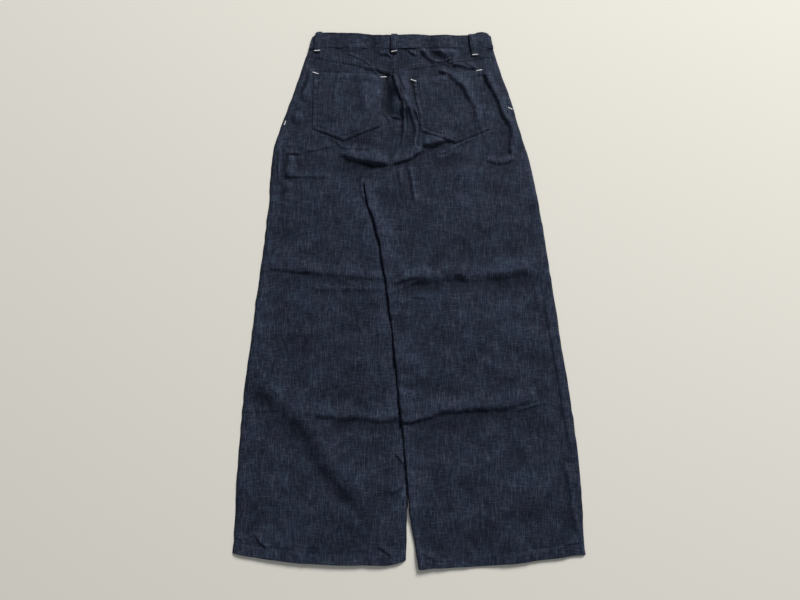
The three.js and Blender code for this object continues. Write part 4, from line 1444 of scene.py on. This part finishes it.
@dataclass(frozen=True)
class Waistband:
    """One doubled strip round the waist, flattened: inner end, left fold, back, right fold, outer end."""

    wall: float = 2.4
    stack: float = 5.8
    step: float = 3.0
    overlap_inner: float = 18.0
    overlap_outer: float = 17.0
    slope: float = 11.0
    height: float = 30.0
    flat_size: tuple[float, float] = (32, 800)

    def low(self, x: Array) -> Array:
        """Middle of the lower layer, lifted by the button and the front loops under it."""
        button = WaistButton()
        lift = (button.thickness + 0.4) * plateau(x - button.x, half_width=11, ramp=14)
        for away in (-FrontLoop.offset, FrontLoop.offset):
            lift = np.maximum(lift, 1.9 * plateau(x - button.x - away, half_width=12, ramp=15))
        return lift + self.wall / 2

    def top(self, x: Array) -> Array:
        """Outer face of the upper layer, without its fine relief."""
        return self.stack + waist_lift(x)

    def line(self) -> Array:
        """The band's middle line, seen along the garment."""
        button_x = WaistButton().x
        left = float(HALVES[0].edge(BAND_SEAM)) + self.stack / 2
        right = float(HALVES[1].edge(BAND_SEAM)) - self.stack / 2
        radius = (self.stack - self.wall) / 2

        def run(start: float, end: float, height: HeightOf, lift: float = 0.0) -> Array:
            x = np.linspace(start, end, max(2, round(abs(end - start) / self.step)))
            return np.stack([x, height(x) + lift], axis=1)

        def fold(centre: float, outward: int, start: float, end: float) -> Array:
            turn = np.radians(np.linspace(start, end, 11)[1:-1])
            x = centre + outward * radius * np.cos(turn)
            return np.stack([x, self.stack / 2 + radius * np.sin(turn)], axis=1)

        slope_top = button_x - self.overlap_outer - 2
        return np.concatenate(
            [
                run(button_x + self.overlap_inner, slope_top, self.low, self.wall + SEAM_GAP),
                run(slope_top - self.slope, left, self.low),
                fold(left, -1, -90, 90),
                run(left, right, lambda x: self.top(x) - self.wall / 2),
                fold(right, 1, 90, -90),
                run(right, button_x - self.overlap_outer, self.low),
            ]
        )

    def build(self, finishes: Finishes) -> None:
        """Builds the waistband."""
        line = self.line()
        along = np.gradient(line, axis=0)
        along /= np.linalg.norm(along, axis=1, keepdims=True)
        out = np.stack([along[:, 1], -along[:, 0]], axis=1)
        out *= np.sign(np.dot(out[len(out) // 2], [0, 1]))
        away = stations(self.height, step=1.8, radius=1.2)
        parts = away / self.height
        x = np.repeat(line[:, :1], len(parts), axis=1)
        z = np.repeat(line[:, 1:], len(parts), axis=1)
        upper = (out[:, 1:] > 0.5).astype(float)
        wave = 0.5 * upper * line_noise(x, 24, 50)
        y = mix(band_seam(x) - BAND_LAP * upper, band_edge(x) + wave, parts[None])
        from_edge = np.minimum(away, self.height - away)[None] + 0 * x
        relief = upper * (
            0.6 * lattice_noise(x, y, 26, 14, seed=51)
            + 0.5 * lattice_noise(x - 1.6 * y, y, 13, 6, seed=53)
            + 0.4 * lattice_noise(x + 2.2 * y, y, 9, 5, seed=54)
            + pucker(x + 0.5 * y, from_edge - 2, pitch=7.0, depth=0.5, reach=6.0, seed=52)
            - groove(from_edge - BAND_ROW, depth=0.5, width=1.1)
        )
        half_wall = self.wall / 2 * edge_round(from_edge, 1.2)
        left, right = HALVES
        button_x = WaistButton().x
        side_x = np.where(line[:, :1] < button_x, left.edge(y), right.edge(y))
        base_x = np.where(line[:, :1] < button_x, left.edge(BAND_SEAM), right.edge(BAND_SEAM))
        shift = (side_x - base_x) * ((x - button_x) / (base_x - button_x))

        def face(offset: Array) -> Array:
            px = x + out[:, :1] * offset + shift
            pz = np.maximum(z + out[:, 1:] * offset, 0.0)
            return np.stack([px, y, pz], axis=-1)

        outer, under = face(half_wall + relief), face(-half_wall)
        piece = shell("waistband_strip", outer, under, finishes.denim)
        declare_laid("waistband")


@dataclass(frozen=True)
class BackLoop:
    """A belt loop on the back: a stitched strip that stands a little off the band."""

    name: str
    head_x: float
    foot_x: float
    foot_y: float
    tack_angle: float
    width: float = 13.5
    thickness: float = 1.5
    rise: float = 1.3
    clearance: float = 0.45
    over: float = 2.0
    bend: float = 4.5

    def place(self, across: Array, part: Array) -> tuple[Array, Array]:
        """A place of the loop, by its distance from the middle and its part of the way up."""
        x = mix(self.foot_x, self.head_x, part) + across
        return x, mix(self.foot_y, band_edge(x) + self.over, part)

    def base(self, part: Array) -> Array:
        """Height of the loop's underside, which bends down over the band's upper edge."""
        half = HALVES[0] if self.foot_x < HALVES[0].inner(500) else HALVES[1]
        across = np.linspace(-0.5, 0.5, 5) * self.width
        x, y = self.place(across, np.asarray(part, float)[..., None])
        lies = mix(half.top(x, y), Waistband().top(x) + 0.4, smooth(-4.0, -1.0, y - band_seam(x)))
        past = np.clip((y - band_edge(x) + self.bend - self.over) / self.bend, 0, 1)
        bent = lies + self.clearance - self.bend * (1 - np.sqrt(1 - past**2))
        return bent.max(axis=-1) + self.rise * np.sin(np.pi * part)

    def build(self, finishes: Finishes) -> None:
        """Builds the loop."""
        across = stations(self.width, step=1.3, radius=0.7)
        length = float(self.place(0.0, 1.0)[1]) - self.foot_y
        along = stations(length, step=1.6, radius=0.9)
        x, y = self.place((across - self.width / 2)[None], (along / length)[:, None])
        base = self.base(along / length)[:, None] + 0 * x
        from_edge = np.minimum(across, self.width - across)[None] + 0 * y
        keep = edge_round(from_edge, 0.7) * edge_round(np.minimum(along, length - along), 0.9)[:, None]
        crown = 0.5 * smooth(0, 6, from_edge) - groove(from_edge - LOOP_ROW, depth=0.35, width=0.8)
        crown = crown + 0.25 * lattice_noise(x, y, 6, 8, seed=55)
        outer = np.stack([x, y, base + self.thickness * keep + crown], axis=-1)
        under = np.stack([x, y, base + 0.15 * (1 - keep)], axis=-1)
        piece = shell(f"loop_{self.name}", outer, under, finishes.denim)
        node = f"belt_loop_back_{self.name}"
        declare_laid(node)

    def face(self, across: float, part: Array) -> Array:
        """Points of the loop's face along a line, for its stitches."""
        x, y = self.place(across, part)
        return np.stack([x, y, self.base(part) + self.thickness + 0.35], axis=-1)


# Sewing


@dataclass
class Stitches:
    """Rows of stitches of one thread, joined in one mesh.

    The profile says how a stitch swells and sinks: a part of its length, the share of its radius
    there, and how many radii its middle lies under the cloth's face.
    """

    profile: ClassVar = ((0, 0.35, 0.9), (0.15, 0.8, 0.3), (0.5, 1, 0), (0.85, 0.8, 0.3), (1, 0.35, 0.9))
    name: str
    length: float = 2.5
    pitch: float = 3.2
    radius: float = 0.32
    sides: int = 6
    points: list[Array] = field(default_factory=list)
    faces: list[Array] = field(default_factory=list)
    count: int = 0

    def add(self, starts: Array, ends: Array, radius: float) -> None:
        """Adds stitches: short threads whose ends dip into the cloth.

        Args:
            starts: their first ends, one a row.
            ends: their other ends.
            radius: their radius.
        """
        span = ends - starts
        along = span / np.linalg.norm(span, axis=1, keepdims=True)
        across = np.cross(along, [0.0, 0.0, 1.0])
        across /= np.linalg.norm(across, axis=1, keepdims=True)
        up = np.cross(across, along)
        turn = np.linspace(0, 2 * np.pi, self.sides, endpoint=False)[:, None]
        rings = []
        for part, size, sink in self.profile:
            centre = starts + span * part - up * radius * sink
            ring = np.cos(turn) * across[:, None] + np.sin(turn) * up[:, None]
            rings.append(centre[:, None] + ring * radius * size)
        n = self.sides
        index = np.arange(n)
        quads = [
            np.stack([index, (index + 1) % n, (index + 1) % n + n, index + n], axis=1) + ring * n
            for ring in range(len(rings) - 1)
        ]
        last = (len(rings) - 1) * n
        quads.append(np.array([[0, 5, 4, 3], [0, 3, 2, 1]]))
        quads.append(np.array([[0, 1, 2, 3], [0, 3, 4, 5]]) + last)
        block = np.concatenate(quads)
        each = n * len(rings)
        first = self.count + each * np.arange(len(starts))
        self.faces.append((block[None] + first[:, None, None]).reshape(-1, 4))
        self.points.append(np.stack(rings, axis=1).reshape(-1, 3))
        self.count += each * len(starts)

    def run(self, path: Array, height: Height) -> None:
        """Sews along a path.

        Args:
            path: points of x and y.
            height: height of the cloth's face.
        """
        steps = np.linalg.norm(np.diff(path, axis=0), axis=1)
        walked = np.concatenate([[0.0], np.cumsum(steps)])
        starts = np.arange(0.4, walked[-1] - self.length, self.pitch)
        ends = np.stack([starts, starts + self.length])
        x = np.interp(ends, walked, path[:, 0])
        y = np.interp(ends, walked, path[:, 1])
        first, second = np.stack([x, y, height(x, y)], axis=-1)
        self.add(first, second, self.radius)

    def finish(self, material: Material) -> None:
        """Joins the stitches in one piece."""
        piece = new_piece(self.name, np.concatenate(self.points), np.concatenate(self.faces), material)


@dataclass(frozen=True)
class Tack:
    """A bartack: a bar of close thread across a place that takes strain."""

    x: float
    y: float
    angle: float
    length: float = 11.5
    width: float = 2.0
    pitch: float = 0.62

    def sew(self, stitches: Stitches, height: Height) -> None:
        """Sews the bar as close threads that cross it.

        Args:
            stitches: what the threads are added to.
            height: height of the cloth's face.
        """
        turn = math.radians(self.angle)
        along = np.array([math.cos(turn), math.sin(turn)])
        over = np.array([-along[1], along[0]])
        away = np.arange(-self.length / 2, self.length / 2, self.pitch)
        lean = np.where(np.arange(len(away)) % 2, 0.25, -0.25)
        middle = np.array([self.x, self.y]) + away[:, None] * along
        z = np.max([height(*(middle + over * self.width * part).T) for part in (-0.5, 0, 0.5)], axis=0)
        z = np.maximum(z, z.mean()) + 0.3
        first = middle - lean[:, None] * along - over * self.width / 2
        second = middle + lean[:, None] * along + over * self.width / 2
        stitches.add(np.column_stack([first, z]), np.column_stack([second, z]), 0.42)


POCKET_TACKS = {
    Side.LEFT: (Tack(-189, 440, -16), Tack(-50, 433, 6)),
    Side.RIGHT: (Tack(11, 424.5, -18), Tack(146, 446.5, 10)),
}
HIP_TACKS = {
    Side.LEFT: (Tack(-250, 335, 72, length=9),),
    Side.RIGHT: (Tack(208, 366, -28, length=9),),
}


@dataclass(frozen=True)
class Sewing:
    """All visible sewing of the jeans."""

    loops: tuple[BackLoop, ...]
    raise_by: float = 0.12
    loop_length: float = 40.0

    def polyline(self, corners: Array, inset: float) -> Array:
        """An open line set in from a pocket's sewn edges, from its upper left corner round."""
        top_left, top_right, low_right, point, low_left = corners
        order = [top_left, low_left, point, low_right, top_right]
        centre = corners.mean(axis=0)
        lines = []
        for a, b in zip(order, order[1:]):
            along = (b - a) / np.linalg.norm(b - a)
            inward = np.array([-along[1], along[0]])
            inward *= np.sign(np.dot(inward, centre - (a + b) / 2))
            lines.append((a + inward * inset, along))
        path = [lines[0][0]]
        for (p, d), (q, e) in zip(lines, lines[1:]):
            t = np.linalg.solve(np.stack([d, -e], axis=1), q - p)[0]
            path.append(p + d * t)
        path.append(lines[-1][0] + lines[-1][1] * np.linalg.norm(order[-1] - order[-2]))
        return np.array(path)

    def sew_half(self, half: Half, finishes: Finishes) -> None:
        """Sews one half: pocket, yoke seam, centre seam and hem."""
        word = half.side.word
        pocket = PatchPocket(half)
        corners = pocket.outline()

        def panel(x: Array, y: Array) -> Array:
            return half.top(x, y) + self.raise_by

        def patch(x: Array, y: Array) -> Array:
            return pocket.top(x, y) + self.raise_by

        stitches = Stitches(f"topstitching_pocket_{word}")
        for inset in POCKET_ROWS:
            stitches.run(self.polyline(corners, inset), patch)
        down = np.array([0.0, -1.0])
        for drop in POCKET_TOP_ROWS:
            stitches.run(corners[:2] + down * drop + np.array([[1.5, 0], [-1.5, 0]]), patch)
        stitches.finish(finishes.thread)
        seams = Stitches(f"topstitching_seams_{word}")
        inner_x, side_x = float(half.inner(YOKE_CENTRE)), float(half.edge(YOKE_SIDE)) - half.sign * 5
        x = np.linspace(inner_x + half.sign * 3, side_x, 60)
        for lift in SEAM_ROWS:
            path = np.stack([x, half.yoke_seam(x) + lift], axis=1)
            seams.run(path, lambda a, b: half.top(a, b) + LAP_HEIGHT + self.raise_by)
        inner_x, side_x = float(half.inner(HEM)), float(half.edge(HEM)) - half.sign * 5
        x = np.linspace(inner_x + half.sign * 6, side_x, 90)
        path = np.stack([x, half.hem(x) + HEM_DEPTH - HEM_ROW_INSET], axis=1)
        seams.run(path, lambda a, b: panel(a, b) + HEM_EXTRA)
        if half.side is Side.RIGHT:
            y = np.linspace(BAND_SEAM - 2, CROTCH + 6, 80)
            for away in SEAM_ROWS:
                seams.run(np.stack([half.inner(y) + away, y], axis=1), panel)
        seams.finish(finishes.thread)

    def sew_band(self, finishes: Finishes) -> None:
        """Sews the waistband's two edges and the loops' edges."""
        stitches = Stitches("topstitching_waist")
        band = Waistband()
        x = np.linspace(-197, 169, 160)
        for path_y in (band_seam(x) + BAND_ROW, band_edge(x) - BAND_ROW):
            stitches.run(np.stack([x, path_y], axis=1), lambda a, b: band.top(a) + self.raise_by - 0.1)
        for loop in self.loops:
            parts = np.arange(0.1, 0.93, stitches.pitch / self.loop_length)
            for across in (LOOP_ROW - loop.width / 2, loop.width / 2 - LOOP_ROW):
                ends = loop.face(across, parts + stitches.length / self.loop_length)
                stitches.add(loop.face(across, parts), ends, stitches.radius)
        stitches.finish(finishes.thread)

    def sew_tacks(self, finishes: Finishes) -> None:
        """Sews the white bartacks under the loops, at the pockets' corners and at the hips."""
        stitches = Stitches("bartacks")
        for loop in self.loops:
            foot = float(loop.face(0.0, np.array(0.08))[2])
            x, y = loop.place(0.0, 0.08)
            Tack(float(x), float(y), loop.tack_angle).sew(stitches, lambda a, b, foot=foot: foot + 0 * a)
        for half in HALVES:
            for tack in POCKET_TACKS[half.side]:
                tack.sew(stitches, PatchPocket(half).top)
            for tack in HIP_TACKS[half.side]:
                tack.sew(stitches, half.top)
        stitches.finish(finishes.bartack)


# Studio


@dataclass(frozen=True)
class Studio:
    """A plain pale floor, soft light and the camera above it, tilted as the photo's was."""

    floor_size: float = 8.0
    camera_x: float = -0.0165
    camera_y: float = -0.175
    camera_height: float = 1.21
    tilt: float = 7.0
    focal_px: float = 620.0
    image_width_px: float = 800.0
    sensor_mm: float = 36.0
    key_place: tuple[float, float, float] = (3.4, 5.9, 3.95)
    key_size: float = 2.4
    key_power: float = 900.0
    sky_colour: str = "#e8ecf2"
    sky_strength: float = 0.34

    def build(self) -> None:
        """Builds the floor, the light and the camera."""
        half = self.floor_size / 2
        mesh = bpy.data.meshes.new("floor")
        corners = [(-half, -half, 0), (half, -half, 0), (half, half, 0), (-half, half, 0)]
        mesh.from_pydata(corners, [], [(0, 1, 2, 3)])
        floor = bpy.data.objects.new("floor", mesh)
        mesh.materials.append(PaleFloor().build())
        bpy.context.scene.collection.objects.link(floor)
        self.add_key()
        world = bpy.data.worlds.new("studio")
        world.use_nodes = True
        background = world.node_tree.nodes["Background"]
        background.inputs["Color"].default_value = linear(self.sky_colour)
        background.inputs["Strength"].default_value = self.sky_strength
        bpy.context.scene.world = world
        bpy.context.scene.view_settings.view_transform = "Standard"
        self.add_camera()

    def add_key(self) -> None:
        """Adds the one soft light, a square that faces the garment."""
        data = bpy.data.lights.new("key", "AREA")
        data.size = self.key_size
        data.energy = self.key_power
        light = bpy.data.objects.new("key", data)
        light.location = self.key_place
        light.rotation_euler = (-Vector(self.key_place)).to_track_quat("-Z", "Y").to_euler()
        bpy.context.scene.collection.objects.link(light)

    def add_camera(self) -> None:
        """Adds the camera, nearly straight above the garment."""
        data = bpy.data.cameras.new("camera")
        data.sensor_width = self.sensor_mm
        data.lens = self.focal_px / self.image_width_px * self.sensor_mm
        camera = bpy.data.objects.new("camera", data)
        camera.location = (self.camera_x, self.camera_y, self.camera_height)
        camera.rotation_euler = (math.radians(self.tilt), 0.0, 0.0)
        bpy.context.scene.collection.objects.link(camera)
        bpy.context.scene.camera = camera


def main() -> None:
    """Builds the jeans, piece by piece, and the studio round them."""
    logging.basicConfig(level=logging.INFO, format="%(message)s")
    Studio().build()
    finishes = Finishes.make()
    for half in HALVES:
        LowerLayer(half).build(finishes)
        BackPanel(half).build(finishes)
        Yoke(half).build(finishes)
        PatchPocket(half).build(finishes)
        FrontLoop(half.side).build(finishes)
    Waistband().build(finishes)
    WaistButton().build(finishes)
    loops = (
        BackLoop("left", head_x=-184, foot_x=-187, foot_y=485.5, tack_angle=5),
        BackLoop("centre", head_x=-28, foot_x=-28.5, foot_y=482.5, tack_angle=14),
        BackLoop("right", head_x=131, foot_x=138.5, foot_y=476.5, tack_angle=5),
    )
    for loop in loops:
        loop.build(finishes)
    sewing = Sewing(loops)
    for half in HALVES:
        sewing.sew_half(half, finishes)
    sewing.sew_band(finishes)
    sewing.sew_tacks(finishes)


if __name__ == "__main__":
    main()
